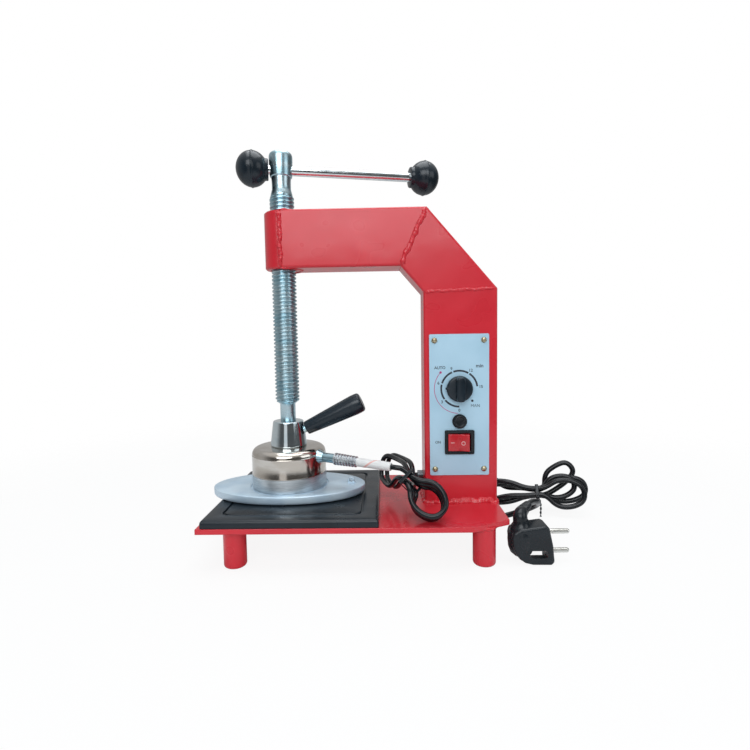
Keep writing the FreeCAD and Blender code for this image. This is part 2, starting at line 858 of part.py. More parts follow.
# Heater plate: the aluminium ring with its element groove, spigot and bolt recess
heater_radius = heater_diameter / 2
spigot_radius = heater_radius - cover_wall - flat_gap
heater = turned([
    (0, heater_bottom), (heater_radius, heater_bottom), (heater_radius, heater_top),
    (spigot_radius, heater_top), (spigot_radius, heater_top + spigot_height),
    (spigot_radius - spigot_width, heater_top + spigot_height),
    (spigot_radius - spigot_width, heater_top), (0, heater_top)],
    Vector(screw_x, 0, 0))
element_groove = Part.makeTorus(element_circle, element_diameter / 2 + hole_gap,
                                Vector(screw_x, 0, heater_top))
heater = heater.cut(element_groove)
head_seat = heater_bottom + bolt_recess + bolt_head_height
heater = heater.cut(rod(Vector(screw_x, 0, heater_bottom - 1), UP, head_seat - heater_bottom + 1,
                        bolt_head_diameter + 2 * hole_gap))
heater = heater.cut(rod(Vector(screw_x, 0, heater_bottom), UP, heater_height + 1,
                        bolt_diameter + 2 * hole_gap))
save("heater_plate", heater)

# Heating element: a ring of sheathed tube with two upright pins at the back
element = Part.makeTorus(element_circle, element_diameter / 2, Vector(screw_x, 0, heater_top))
pins = []
for way in (-1, 1):
    pin_angle = math.radians(180 + way * element_pin_spread)
    pin_place = Vector(screw_x + element_circle * math.cos(pin_angle),
                       element_circle * math.sin(pin_angle), heater_top)
    pins.append(pin_place)
    element = element.fuse(rod(pin_place, UP, element_diameter / 2 + element_pin_height,
                               element_pin_diameter))
save("heating_element", element)

# Thermostat beside the spacer, on the heater plate
thermostat_place = Vector(screw_x, thermostat_out, heater_top)
thermostat = rod(thermostat_place, UP, thermostat_height, thermostat_diameter)
blades = []
for blade_x in (-thermostat_diameter / 4, thermostat_diameter / 4):
    blades.append(box(screw_x + blade_x - thermostat_blade / 2, screw_x + blade_x + thermostat_blade / 2,
                      thermostat_out - thermostat_blade_width / 2,
                      thermostat_out + thermostat_blade_width / 2,
                      heater_top + thermostat_height - 1,
                      heater_top + thermostat_height + insulation_thickness + 6))
thermostat = thermostat.fuse(blades).removeSplitter()
save("thermostat", thermostat)

# Insulation disc over the element
insulation_bottom = heater_top + thermostat_height + flat_gap
insulation = rod(Vector(screw_x, 0, insulation_bottom), UP, insulation_thickness,
                 2 * (heater_radius - cover_wall - flat_gap))
insulation = insulation.cut(rod(Vector(screw_x, 0, insulation_bottom - 1), UP,
                                insulation_thickness + 2, spacer_diameter + 2 * flat_gap))
for pin_place in pins:
    insulation = insulation.cut(rod(Vector(pin_place.x, pin_place.y, insulation_bottom - 1), UP,
                                    insulation_thickness + 2, element_pin_diameter + 2 * flat_gap))
blade_slot = thermostat_diameter / 4 + thermostat_blade
insulation = insulation.cut(box(screw_x - blade_slot, screw_x + blade_slot,
                                thermostat_out - thermostat_blade_width / 2 - flat_gap,
                                thermostat_out + thermostat_blade_width / 2 + flat_gap,
                                insulation_bottom - 1,
                                insulation_bottom + insulation_thickness + 1))
save("insulation_disc", insulation)

# Spun cover, with the hole for the leads in its side
shoulder_z = cover_top - cover_shoulder
inner_radius = heater_radius - cover_wall
inner_shoulder = cover_shoulder - cover_wall
lean_point = heater_radius - cover_shoulder + cover_shoulder * math.sqrt(0.5)
lean_inner = heater_radius - cover_shoulder + inner_shoulder * math.sqrt(0.5)
cover_outline = [
    (heater_radius, heater_top), (heater_radius, shoulder_z),
    (lean_point, shoulder_z + cover_shoulder * math.sqrt(0.5),
     heater_radius - cover_shoulder, cover_top)]
cover_block = turned([(0, heater_top)] + cover_outline + [(0, cover_top)], Vector(screw_x, 0, 0))
cover = turned(cover_outline + [
    (bolt_diameter / 2 + hole_gap, cover_top), (bolt_diameter / 2 + hole_gap, cover_top - cover_wall),
    (heater_radius - cover_shoulder, cover_top - cover_wall),
    (lean_inner, shoulder_z + inner_shoulder * math.sqrt(0.5), inner_radius, shoulder_z),
    (inner_radius, heater_top)],
    Vector(screw_x, 0, 0))
outlet_turn = math.radians(-outlet_angle)
outlet_fall = math.tan(math.radians(outlet_droop))
outlet_way = Vector(math.cos(outlet_turn), math.sin(outlet_turn), -outlet_fall).normalize()
outlet_base = Vector(screw_x, 0, heater_bottom + outlet_height + heater_radius * outlet_fall)


def on_outlet(reach):
    """The point on the outlet's axis at a horizontal distance from the screw's axis."""
    scale = reach / math.cos(math.radians(outlet_droop))
    return outlet_base + outlet_way * scale


core_hole = heater_cable_diameter + 2 * hole_gap
cover = cover.cut(rod(on_outlet(outlet_core_from), outlet_way, cover_wall * 12, core_hole))
save("head_cover", cover)

# Spacer tube and bolt that clamp the heater plate, the cover and the cone together
spacer = turned([
    (bolt_diameter / 2 + hole_gap, heater_top), (spacer_diameter / 2, heater_top),
    (spacer_diameter / 2, cover_top - cover_wall),
    (bolt_diameter / 2 + hole_gap, cover_top - cover_wall)],
    Vector(screw_x, 0, 0))
save("spacer_tube", spacer)
bolt_top = bore_floor - 2 * flat_gap
bolt = rod(Vector(screw_x, 0, head_seat - bolt_head_height), UP, bolt_head_height, bolt_head_diameter)
bolt = bolt.fuse(rod(Vector(screw_x, 0, head_seat - 1), UP, bolt_top - head_seat + 1, bolt_diameter))
bolt = bolt.removeSplitter()
bolt = bolt.cut(hexagon(Vector(screw_x, 0, head_seat - bolt_head_height - 1), UP, bolt_socket_flats,
                        bolt_socket_depth + 1))
save("head_bolt", bolt)

# Cone on top of the head, bored for the screw's neck
base_radius = cone_base_diameter / 2
top_radius = cone_top_diameter / 2
neck_bore = neck + shaft_gap
cone = turned([
    (bolt_diameter / 2 + screw_fit, cover_top), (base_radius, cover_top), (top_radius, cone_top),
    (neck_bore, cone_top), (neck_bore, bore_floor), (bolt_diameter / 2 + screw_fit, bore_floor)],
    Vector(screw_x, 0, 0))
cone = rounded(cone, cone_round, lambda edge: edge.BoundBox.XLength > 2 * top_radius - 0.01
               and edge.BoundBox.ZLength < 0.01)
handle_turn = math.radians(handle_angle)
handle_way = Vector(math.cos(handle_turn), 0, math.sin(handle_turn))
handle_base = Vector(screw_x, 0, cone_top - handle_axis_drop)
cone = cone.cut(rod(handle_base + handle_way * (neck / 2), handle_way, base_radius * 2,
                    stud_diameter + 2 * screw_fit))
save("pressure_cone", cone)
save("thrust_washer", rod(Vector(screw_x, 0, bore_floor), UP, washer_thickness, neck_diameter))

# Handle: a stud whose tip keeps the neck in the cone, and a tapered grip
stud = rod(handle_base + handle_way * stud_shank_from, handle_way,
           grip_from + stud_in_grip - stud_shank_from, stud_diameter)
stud = stud.fuse(rod(handle_base + handle_way * stud_tip_from, handle_way,
                     stud_shank_from - stud_tip_from + 1, stud_tip_diameter))
save("handle_stud", stud.removeSplitter())
grip_step = grip_end_round * (1 - math.sqrt(0.5))
small = grip_small_diameter / 2
large = grip_large_diameter / 2
stud_hole = stud_diameter / 2 + screw_fit
grip = turned([
    (stud_hole, 0), (small - 1, 0), (small - 0.3, 0.3, small, 1),
    (small + 0.62 * (large - small), grip_length * 0.5, large, grip_length * 0.84),
    (large + 0.05, grip_length * 0.9, large - 0.2, grip_length - grip_end_round),
    (large - 0.2 - grip_step, grip_length - grip_step, large - grip_end_round, grip_length),
    (0, grip_length), (0, stud_in_grip + flat_gap), (stud_hole, stud_in_grip + flat_gap)],
    handle_base + handle_way * grip_from, handle_way)
save("handle_grip", grip)

# Cable outlet: steel stub, ribbed strain relief, white sleeve and the cable inside them
stub = rod(on_outlet(heater_radius / 2), outlet_way, stub_end - heater_radius / 2, stub_diameter)
flare_from = heater_radius - 2
stub = stub.fuse(taper(on_outlet(flare_from), outlet_way, stub_flare_length + 2,
                       stub_flare_diameter, stub_diameter))
stub = stub.cut(rod(on_outlet(0), outlet_way, stub_end + 1, core_hole))
stub = stub.cut(cover_block)
stub = max(stub.Solids, key=lambda solid: solid.Volume)
save("outlet_stub", stub)
relief_length = relief_end - stub_end
relief_pitch = relief_length / relief_ribs
relief_profile = [(core_hole / 2, 0), (relief_core_diameter / 2, 0)]
for rib in range(relief_ribs):
    rib_radius = (relief_diameter - (relief_diameter - relief_end_diameter) * rib
                  / (relief_ribs - 1)) / 2
    foot = relief_pitch * rib + (relief_pitch - relief_rib_width) / 2
    relief_profile.extend([
        (relief_core_diameter / 2, foot), (rib_radius, foot + 0.3),
        (rib_radius, foot + relief_rib_width - 0.3),
        (relief_core_diameter / 2, foot + relief_rib_width)])
relief_profile.extend([(relief_core_diameter / 2, relief_length), (core_hole / 2, relief_length)])
save("strain_relief", turned(relief_profile, on_outlet(stub_end), outlet_way))
white_sleeve = rod(on_outlet(relief_end), outlet_way, white_sleeve_end - relief_end,
                   white_sleeve_diameter)
white_sleeve = white_sleeve.cut(rod(on_outlet(0), outlet_way, white_sleeve_end * 2, core_hole))
save("white_sleeve", white_sleeve)
cable_start = on_outlet(white_sleeve_end)
save("outlet_cable", rod(on_outlet(outlet_core_from), outlet_way,
                         (cable_start - on_outlet(outlet_core_from)).Length, heater_cable_diameter))

# Control panel: a thin plate over the column's window
panel = box(panel_left, panel_left + panel_width, panel_front, -half_tube,
            panel_bottom, panel_bottom + panel_height)
panel = rounded(panel, 1.5, lambda edge: runs_along(edge, BACK))
timer_z = panel_bottom + timer_above_panel_foot
fuse_z = panel_bottom + fuse_above_panel_foot
switch_z = panel_bottom + switch_above_panel_foot
for hole_x, hole_z in panel_holes:
    panel = panel.cut(rod(Vector(hole_x, panel_front - 1, hole_z), BACK, panel_thickness + 2,
                          panel_screw_diameter + 2 * hole_gap))
panel = panel.cut(rod(Vector(panel_x, panel_front - 1, timer_z), BACK, panel_thickness + 2,
                      timer_bush_diameter + 2 * hole_gap))
panel = panel.cut(rod(Vector(panel_x, panel_front - 1, fuse_z), BACK, panel_thickness + 2,
                      fuse_body_diameter + 2 * hole_gap))
switch_hole_wide = switch_body_width / 2 + hole_gap
switch_hole_high = switch_body_height / 2 + hole_gap
panel = panel.cut(box(panel_x - switch_hole_wide, panel_x + switch_hole_wide, panel_front - 1,
                      -half_tube + 1, switch_z - switch_hole_high, switch_z + switch_hole_high))
save("control_panel", panel)

# Four round-head panel screws
panel_screws = []
for hole_x, hole_z in panel_holes:
    head = turned([
        (0, 0), (panel_screw_head / 2, 0),
        dome(panel_screw_head / 2, 0, panel_screw_head_height)],
        Vector(hole_x, panel_front, hole_z), BACK * -1)
    shank = rod(Vector(hole_x, panel_front - 0.2, hole_z), BACK, panel_screw_length,
                panel_screw_diameter)
    slot = box(hole_x - panel_screw_head, hole_x + panel_screw_head,
               panel_front - panel_screw_head_height - 1, panel_front - panel_screw_head_height + 1,
               hole_z - panel_screw_slot / 2, hole_z + panel_screw_slot / 2)
    panel_screws.append(head.fuse(shank).cut(slot).removeSplitter())
save("panel_screws", *panel_screws)

# Clockwork timer: body with its bush, nut, shaft and knob
half_timer = timer_body_size / 2
timer_body = box(panel_x - half_timer, panel_x + half_timer, -half_tube,
                 -half_tube + timer_body_depth, timer_z - half_timer, timer_z + half_timer)
timer_body = rounded(timer_body, 3, lambda edge: runs_along(edge, BACK))
timer_body = timer_body.fuse(rod(Vector(panel_x, -half_tube + 1, timer_z), BACK * -1,
                                 timer_bush_length + 1, timer_bush_diameter))
timer_body = timer_body.removeSplitter()
shaft_back = -half_tube + timer_shaft_inside
timer_body = timer_body.cut(rod(Vector(panel_x, shaft_back, timer_z), BACK * -1,
                                timer_shaft_inside * 2, timer_shaft_diameter + 2 * shaft_gap))
save("timer_body", timer_body)
timer_nut = hexagon(Vector(panel_x, panel_front, timer_z), BACK * -1, timer_nut_flats,
                    timer_nut_thickness)
timer_nut = timer_nut.cut(rod(Vector(panel_x, panel_front + 1, timer_z), BACK * -1,
                              timer_nut_thickness + 2, timer_bush_diameter + 2 * screw_fit))
save("timer_nut", timer_nut)
knob_back = panel_front - timer_knob_off_panel
socket_front = knob_back - timer_knob_recess_depth - timer_knob_socket_depth
shaft = rod(Vector(panel_x, shaft_back - flat_gap, timer_z), BACK * -1,
            shaft_back - flat_gap - socket_front - flat_gap, timer_shaft_diameter)
save("timer_shaft", shaft)
knob_radius = timer_knob_diameter / 2
knob_round = 1.2
timer_knob = turned([
    (timer_knob_recess_diameter / 2, 0), (knob_radius, 0), (knob_radius, 2.5),
    (knob_radius - timer_knob_taper, timer_knob_height - knob_round),
    (knob_radius - timer_knob_taper - knob_round * 0.3, timer_knob_height - knob_round * 0.3,
     knob_radius - timer_knob_taper - knob_round, timer_knob_height),
    (0, timer_knob_height), (0, timer_knob_recess_depth + timer_knob_socket_depth),
    (timer_shaft_diameter / 2 + screw_fit, timer_knob_recess_depth + timer_knob_socket_depth),
    (timer_shaft_diameter / 2 + screw_fit, timer_knob_recess_depth),
    (timer_knob_recess_diameter / 2, timer_knob_recess_depth)],
    Vector(panel_x, knob_back, timer_z), BACK * -1)
for way in (-1, 1):
    near = panel_x + way * timer_grip_width / 2
    far = panel_x + way * timer_knob_diameter
    pocket = box(min(near, far), max(near, far), knob_back - timer_knob_height - 1,
                 knob_back - timer_knob_height + timer_grip_cut,
                 timer_z - timer_knob_diameter, timer_z + timer_knob_diameter)
    timer_knob = timer_knob.cut(pocket)
save("timer_knob", timer_knob)

# Fuse holder with its nut, cap and glass fuse
fuse_front = panel_front - fuse_flange_thickness
fuse_holder = rod(Vector(panel_x, panel_front, fuse_z), BACK * -1, fuse_flange_thickness,
                  fuse_flange_diameter)
fuse_holder = fuse_holder.fuse(rod(Vector(panel_x, panel_front - 1, fuse_z), BACK,
                                   fuse_body_length + 1, fuse_body_diameter)).removeSplitter()
fuse_holder = fuse_holder.cut(rod(Vector(panel_x, fuse_front - 1, fuse_z), BACK,
                                  fuse_flange_thickness + 1 + fuse_body_length - fuse_bore_floor,
                                  fuse_bore_diameter))
save("fuse_holder", fuse_holder)
fuse_nut = hexagon(Vector(panel_x, -half_tube, fuse_z), BACK, fuse_nut_flats, fuse_nut_thickness)
fuse_nut = fuse_nut.cut(rod(Vector(panel_x, -half_tube - 1, fuse_z), BACK, fuse_nut_thickness + 2,
                            fuse_body_diameter + 2 * screw_fit))
save("fuse_nut", fuse_nut)
fuse_cap = rod(Vector(panel_x, fuse_front, fuse_z), BACK * -1, fuse_cap_height, fuse_cap_diameter)
fuse_cap = rounded(fuse_cap, 0.8, lambda edge: edge.BoundBox.YMax < fuse_front - fuse_cap_height + 0.01)
fuse_cap = fuse_cap.fuse(rod(Vector(panel_x, fuse_front - 1, fuse_z), BACK, fuse_carrier_length + 1,
                             fuse_carrier_diameter)).removeSplitter()
glass_front = fuse_front + 3
fuse_cap = fuse_cap.cut(rod(Vector(panel_x, glass_front, fuse_z), BACK, fuse_carrier_length,
                            glass_diameter + 2 * (fuse_end_wall + shaft_gap)))
fuse_cap = fuse_cap.cut(box(panel_x - fuse_cap_diameter, panel_x + fuse_cap_diameter,
                            fuse_front - fuse_cap_height - 1, fuse_front - fuse_cap_height + 1.2,
                            fuse_z - fuse_cap_slot / 2, fuse_z + fuse_cap_slot / 2))
save("fuse_cap", fuse_cap)
glass = rod(Vector(panel_x, glass_front + fuse_end_wall + shaft_gap, fuse_z), BACK,
            fuse_length - 2 * (fuse_end_wall + shaft_gap), glass_diameter)
glass = glass.cut(rod(Vector(panel_x, glass_front, fuse_z), BACK, fuse_length, glass_diameter - 1.2))
save("fuse_glass", glass)
fuse_ends = []
for cap_start, cap_way in ((glass_front, BACK), (glass_front + fuse_length, BACK * -1)):
    end_cap = rod(Vector(panel_x, cap_start, fuse_z), cap_way, fuse_end_length,
                  glass_diameter + 2 * fuse_end_wall)
    bore = rod(Vector(panel_x, cap_start, fuse_z) + cap_way * fuse_end_wall, cap_way,
               fuse_end_length, glass_diameter + 2 * screw_fit)
    fuse_ends.append(end_cap.cut(bore))
save("fuse_ends", *fuse_ends)

# Rocker switch: body with bezel and blades, and the rocker on its upright pin
bezel_front = panel_front - bezel_thickness
switch_body = box(panel_x - bezel_width / 2, panel_x + bezel_width / 2, bezel_front, panel_front,
                  switch_z - bezel_height / 2, switch_z + bezel_height / 2)
switch_body = rounded(switch_body, bezel_round, lambda edge: runs_along(edge, BACK))
switch_body = switch_body.fuse(box(
    panel_x - switch_body_width / 2, panel_x + switch_body_width / 2, panel_front - 1,
    panel_front + switch_body_depth, switch_z - switch_body_height / 2,
    switch_z + switch_body_height / 2)).removeSplitter()
well_wide = rocker_width / 2 + flat_gap
well_high = rocker_height / 2 + flat_gap
switch_body = switch_body.cut(box(panel_x - well_wide, panel_x + well_wide, bezel_front - 1,
                                  bezel_front + switch_well_depth, switch_z - well_high,
                                  switch_z + well_high))
pivot_y = bezel_front + rocker_back - 1.5
pin_reach = rocker_height / 2 + rocker_pin_length
switch_body = switch_body.cut(rod(Vector(panel_x, pivot_y, switch_z - pin_reach - flat_gap), UP,
                                  2 * (pin_reach + flat_gap), rocker_pin_diameter + 2 * shaft_gap))
for blade in range(switch_blades):
    blade_x = panel_x + (blade % 2 - 0.5) * switch_body_width * 0.5
    blade_z = switch_z + (blade // 2 - 0.5) * switch_body_height * 0.5
    switch_body = switch_body.fuse(box(
        blade_x - switch_blade_width / 2, blade_x + switch_blade_width / 2,
        panel_front + switch_body_depth - 1, panel_front + switch_body_depth + switch_blade_length,
        blade_z - switch_blade_thickness / 2, blade_z + switch_blade_thickness / 2))
save("switch_body", switch_body)
tilt = math.radians(rocker_angle)
rise = rocker_width / 2 * math.tan(tilt)
half_rocker = rocker_width / 2 - 0.4
rocker_outline = [
    (-half_rocker, rocker_front + rise), (0, rocker_front), (half_rocker, rocker_front + rise),
    (half_rocker - 0.8, -2.5), (4.0, -rocker_back), (-4.0, -rocker_back), (-half_rocker + 0.8, -2.5)]
corners = [Vector(panel_x + x, bezel_front - y, switch_z - rocker_height / 2)
           for x, y in rocker_outline]
rocker = Part.Face(Part.makePolygon(corners + [corners[0]])).extrude(UP * rocker_height)
rocker = rocker.fuse(rod(Vector(panel_x, pivot_y, switch_z - pin_reach), UP, 2 * pin_reach,
                         rocker_pin_diameter)).removeSplitter()
rocker.rotate(Vector(panel_x, pivot_y, switch_z), UP, -rocker_angle)
save("rocker", rocker)

# Terminal block on the column's rear wall, with its clamp screws, and the earth screw
block_z = plate_top + block_above_plate
block_back = half_tube - tube_wall
terminal_block = box(panel_x - block_width / 2, panel_x + block_width / 2, block_back - block_depth,
                     block_back, block_z, block_z + block_height)
clamp_screws = []
for index in range(block_screws):
    clamp_x = panel_x + (index - (block_screws - 1) / 2) * block_width / block_screws
    clamp_place = Vector(clamp_x, block_back - block_depth, block_z + block_height / 2)
    terminal_block = terminal_block.cut(rod(clamp_place - BACK, BACK, block_depth / 2 + 1,
                                            block_screw_diameter + 2 * screw_fit))
    clamp_screws.append(rod(clamp_place - BACK * block_screw_height, BACK,
                            block_screw_height + block_depth / 2 - flat_gap, block_screw_diameter))
save("terminal_block", terminal_block)
save("terminal_screws", *clamp_screws)
earth_x = column_left + earth_from_column
earth_z = plate_top + earth_above_plate
earth = rod(Vector(earth_x, half_tube, earth_z), BACK * -1, earth_length, earth_diameter)
earth = earth.fuse(hexagon(Vector(earth_x, half_tube, earth_z), BACK, earth_flats, 2.5))
save("earth_screw", earth.removeSplitter())
earth_nut = hexagon(Vector(earth_x, block_back, earth_z), BACK * -1, earth_flats,
                    earth_nut_thickness)
save("earth_nut", earth_nut.cut(rod(Vector(earth_x, half_tube, earth_z), BACK * -1,
                                    earth_length * 2, earth_diameter + 2 * screw_fit)))

# Short steel entry for the heater cable and rubber gland for the mains cord
entry = rod(entry_point, RIGHT, entry_outside + tube_wall + entry_inside, entry_diameter)
entry = entry.cut(rod(entry_point - RIGHT, RIGHT, entry_outside + tube_wall + entry_inside + 2,
                      entry_bore))
save("cable_entry", entry)
gland_base = Vector(gland_x, half_tube, gland_z)
gland = rod(gland_base, BACK, gland_flange_thickness, gland_flange_diameter)
gland = gland.fuse([
    taper(gland_base + BACK * (gland_flange_thickness - 1), BACK, gland_tail_length + 1,
          gland_tail_root, gland_tail_tip),
    rod(gland_base + BACK, BACK * -1, tube_wall + gland_inside + 1, gland_thread_diameter)])
gland = gland.removeSplitter()
save("mains_gland", gland.cut(rod(gland_base + BACK, BACK * -1, tube_depth, mains_diameter)))

# Heater cable: from the white sleeve to a small hank on the plate, then into the column
heater_spacing = heater_cable_diameter + heater_strand_gap
heater_waist = Vector(61.6, -61.0, 77.3)
heater_axis = Vector(0.45, -0.87, -0.20).normalize()
heater_hint = Vector(0.74, 0.12, 0.67)
heater_up = (heater_hint - heater_axis * heater_hint.dot(heater_axis)).normalize()
heater_stack = heater_up.cross(heater_axis)
front_lobe = lobe(Vector(0.57, -0.42, -0.56), Vector(0.92, 0.20, 0.40), -1,
                  [41.0, 40.0, 39.0], [15.0, 14.5, 14.0], [0, 0, 0], 0.55, 0.55)
back_lobe = lobe(Vector(-0.27, 0.95, -0.06), Vector(0.22, -0.10, 0.95), 1,
                 [82.0, 87.0], [14.0, 15.0], [0, 0], 0.66, 0.48)
lead_way = Vector(0.62, -0.68, -0.39).normalize()
lead_end = (heater_waist + heater_up * (heater_spacing / 2 + heater_lead_lift)
            - heater_stack * (heater_spacing + heater_lead_aside))
tail_start = in_lobe(heater_waist, back_lobe, heater_tail_along,
                     -heater_spacing * heater_tail_across, heater_spacing + heater_lobe_gap)[0]
tail_way = back_lobe["out"]
heater_stations = hank_stations(
    heater_waist, heater_axis, heater_up, heater_stack, front_lobe, back_lobe,
    heater_spacing, heater_spacing + heater_lobe_gap,
    [(lead_end - lead_way * heater_cable_diameter, lead_way), (lead_end, lead_way)],
    [(tail_start, tail_way), (tail_start + tail_way * heater_cable_diameter, tail_way)])
heater_hank, heater_wire = tube_along("heater_cable_hank", station_path(heater_stations),
                                      heater_cable_diameter)
least_gap("heater_cable_hank", heater_wire, heater_cable_diameter)
save("heater_cable_hank", heater_hank)
save("heater_cable_tie", tie_band(heater_waist, heater_axis, heater_up, heater_stack, 3,
                                  heater_spacing, heater_cable_diameter, heater_tie_slack))
hank_in = heater_stations[0][0]
lead_points = [cable_start, cable_start + outlet_way * 6, hank_in - lead_way * 7, hank_in]
lead, lead_wire = tube_along("heater_cable_lead", bent_path(lead_points), heater_cable_diameter)
save("heater_cable_lead", lead)
hank_out = heater_stations[-1][0]
tail_points = [hank_out, hank_out + tail_way * 11, Vector(55.0, -8.0, 66.0),
               Vector(58.0, 3.0, 65.5), entry_point - RIGHT * 5, entry_point + RIGHT * 8]
tail, tail_wire = tube_along("heater_cable_tail", bent_path(tail_points), heater_cable_diameter)
save("heater_cable_tail", tail)
print("heater cable in the open: %.0f" % (lead_wire.Length + heater_wire.Length + tail_wire.Length))

# Plug: a moulded right-angle body with a finger slot, two round pins and a bent neck
plug_right = plug_left + plug_length
plug_shape = [
    (plug_left + 2, plug_belly), (plug_left + plug_belly, 0), (plug_right - 2, 0),
    (plug_right, 3), (plug_right - 3, plug_height * 0.55), (plug_right - 7, plug_height - 1),
    (plug_right - 10, plug_height), (plug_left + 6, plug_height - 6), (plug_left, plug_height * 0.7)]
plug = prism(plug_shape, plug_y - plug_thickness / 2, plug_y + plug_thickness / 2)
plug = rounded(plug, plug_round, lambda edge: not runs_along(edge, BACK))
slot = box(plug_left + plug_slot_from, plug_left + plug_slot_from + plug_slot_length,
           plug_y - plug_thickness, plug_y + plug_thickness,
           plug_slot_bottom, plug_slot_bottom + plug_slot_height)
slot = rounded(slot, plug_slot_height / 2 - 0.1, lambda edge: runs_along(edge, BACK))
plug = plug.cut(slot)
neck_base = Vector(plug_left + plug_neck_from, plug_y, plug_height - plug_round * 4)
elbow = Vector(plug_left + plug_neck_from, plug_y + 1, plug_height + plug_neck_rise)
relief_way = Vector(0.5, 0.866, -0.03).normalize()
neck_rise = elbow - neck_base
plug = plug.fuse([
    taper(neck_base, neck_rise, neck_rise.Length, plug_neck_diameter, plug_elbow_diameter),
    Part.makeSphere(plug_elbow_diameter / 2, elbow),
    taper(elbow, relief_way, plug_relief_length, plug_elbow_diameter, plug_relief_end)])
plug = plug.removeSplitter()
cord_end = elbow + relief_way * plug_relief_length
plug_pins = []
pin_low = plug_slot_bottom + plug_slot_height / 2
pin_root = plug_pin_inside + plug_pin_root_outside
for pin_z in (pin_low, pin_low + plug_pin_spacing):
    pin_base = Vector(plug_right - plug_pin_inside, plug_y, pin_z)
    pin = rod(pin_base + RIGHT * pin_root, RIGHT, plug_pin_length - plug_pin_root_outside,
              plug_pin_diameter)
    tip_x = plug_right + plug_pin_length
    pin = rounded(pin, plug_pin_diameter / 2 - 0.2, lambda edge: edge.BoundBox.XMin > tip_x - 0.01)
    pin = pin.fuse(rod(pin_base, RIGHT, pin_root + 1, plug_pin_root_diameter)).removeSplitter()
    plug_pins.append(pin)
    plug = plug.cut(rod(pin_base, RIGHT, plug_length, plug_pin_root_diameter + 2 * screw_fit))
save("plug_body", plug)
save("plug_pins", *plug_pins)

# Mains cord: from the gland behind the column to a tied hank beside the plate, then to the plug
mains_spacing = mains_diameter + mains_strand_gap
mains_waist = Vector(226.0, 72.0, 23.6)
mains_axis = Vector(0.96, -0.266, 0.10).normalize()
mains_hint = Vector(0.02, 0.36, 0.93)
mains_up = (mains_hint - mains_axis * mains_hint.dot(mains_axis)).normalize()
mains_stack = mains_axis.cross(mains_up)
right_lobe = lobe(Vector(0.964, -0.266, 0.12), Vector(0.0, 0.25, 1.0), 1,
                  [53.0, 57.0, 45.0, 54.0], [11.5, 14.5, 12.5, 16.0], [34, 3, 12, -4], 0.6, 0.6)
left_lobe = lobe(Vector(-0.95, 0.27, -0.075), Vector(0.02, 0.36, 0.93), -1,
                 [80.0, 83.0, 88.0], [10.0, 11.5, 13.0], [0, 0, 0], 0.52, 0.52)
mains_layers = 1.5 * (mains_spacing + mains_lobe_gap)
way_in = left_lobe["out"] * -1
way_out = left_lobe["out"]
start = in_lobe(mains_waist, left_lobe, mains_start_along,
                mains_spacing * mains_start_across, -mains_layers)[0]
finish = in_lobe(mains_waist, left_lobe, mains_finish_along,
                 -mains_spacing * mains_finish_across, mains_layers)[0]
first_row = mains_waist + mains_up * (mains_spacing / 2) - mains_stack * 1.5 * mains_spacing
mains_stations = hank_stations(
    mains_waist, mains_axis, mains_up, mains_stack, right_lobe, left_lobe,
    mains_spacing, mains_spacing + mains_lobe_gap,
    [(start - way_in * mains_diameter, way_in), (start, way_in), (first_row, mains_axis)],
    [(finish, way_out), (finish + way_out * mains_diameter, way_out)])
mains_hank, mains_wire = tube_along("mains_cord_hank", station_path(mains_stations), mains_diameter)
least_gap("mains_cord_hank", mains_wire, mains_diameter)
save("mains_cord_hank", mains_hank)
mains_tie = tie_band(mains_waist, mains_axis, mains_up, mains_stack, 4, mains_spacing,
                     mains_diameter, mains_tie_slack)
strip = Part.makeBox(tie_width * 0.6, tie_thickness, tie_tail_length,
                     Vector(-tie_width * 0.3, -tie_thickness / 2, 0))
strip_foot = (mains_waist + mains_stack * (1.5 * mains_spacing + mains_diameter / 2
                                           + mains_tie_slack + tie_thickness / 2)
              - mains_up * (mains_spacing / 2))
strip.Placement = FreeCAD.Placement(strip_foot, FreeCAD.Rotation(UP, Vector(0.06, -0.82, -0.57)))
save("mains_cord_tie", mains_tie.fuse(strip).removeSplitter())
hank_in = mains_stations[0][0]
mains_exit = gland_base + BACK * (gland_flange_thickness + gland_tail_length)
lead_points = [mains_exit, mains_exit + BACK * 12, Vector(126.0, 74.0, 62.0),
               Vector(141.0, 89.0, 55.0), Vector(160.0, 101.0, 45.0), Vector(180.0, 104.0, 33.0),
               hank_in - way_in * 10, hank_in]
lead, lead_wire = tube_along("mains_cord_lead", bent_path(lead_points), mains_diameter)
save("mains_cord_lead", lead)
hank_out = mains_stations[-1][0]
tail_points = [hank_out, hank_out + way_out * 14, Vector(166.0, 75.0, 12.0),
               Vector(147.0, 67.0, 7.0), Vector(139.0, 49.0, 4.5), Vector(149.0, 32.0, 5.0),
               Vector(170.0, 27.0, 9.0), Vector(191.0, 22.0, 17.0), Vector(205.0, 6.0, 30.0),
               Vector(200.0, -15.0, 42.0), cord_end + relief_way * 12, cord_end]
tail, tail_wire = tube_along("mains_cord_tail", bent_path(tail_points), mains_diameter)
save("mains_cord_tail", tail)
print("mains cord in the open: %.0f" % (lead_wire.Length + mains_wire.Length + tail_wire.Length))
print("height %.1f, overall length %.1f" % (screw_top, overall_length))
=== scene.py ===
# %% [markdown]
# # Dressing a tyre vulcanizing press
# The solid model of this small workshop press comes from a CAD program. It is exact but bare:
# every piece is one flat colour. This lesson builds the looks round it in Blender, with
# surfaces worked out in numpy and finishes made of nodes. Each piece stays where the solid
# model has it, so the screw, the mould, the timer and the switch still move. Lengths are in
# millimetres until a table of points becomes a mesh.

# %% Load the solid model
import math

import bmesh
import bpy
import numpy as np
from mathutils import Matrix


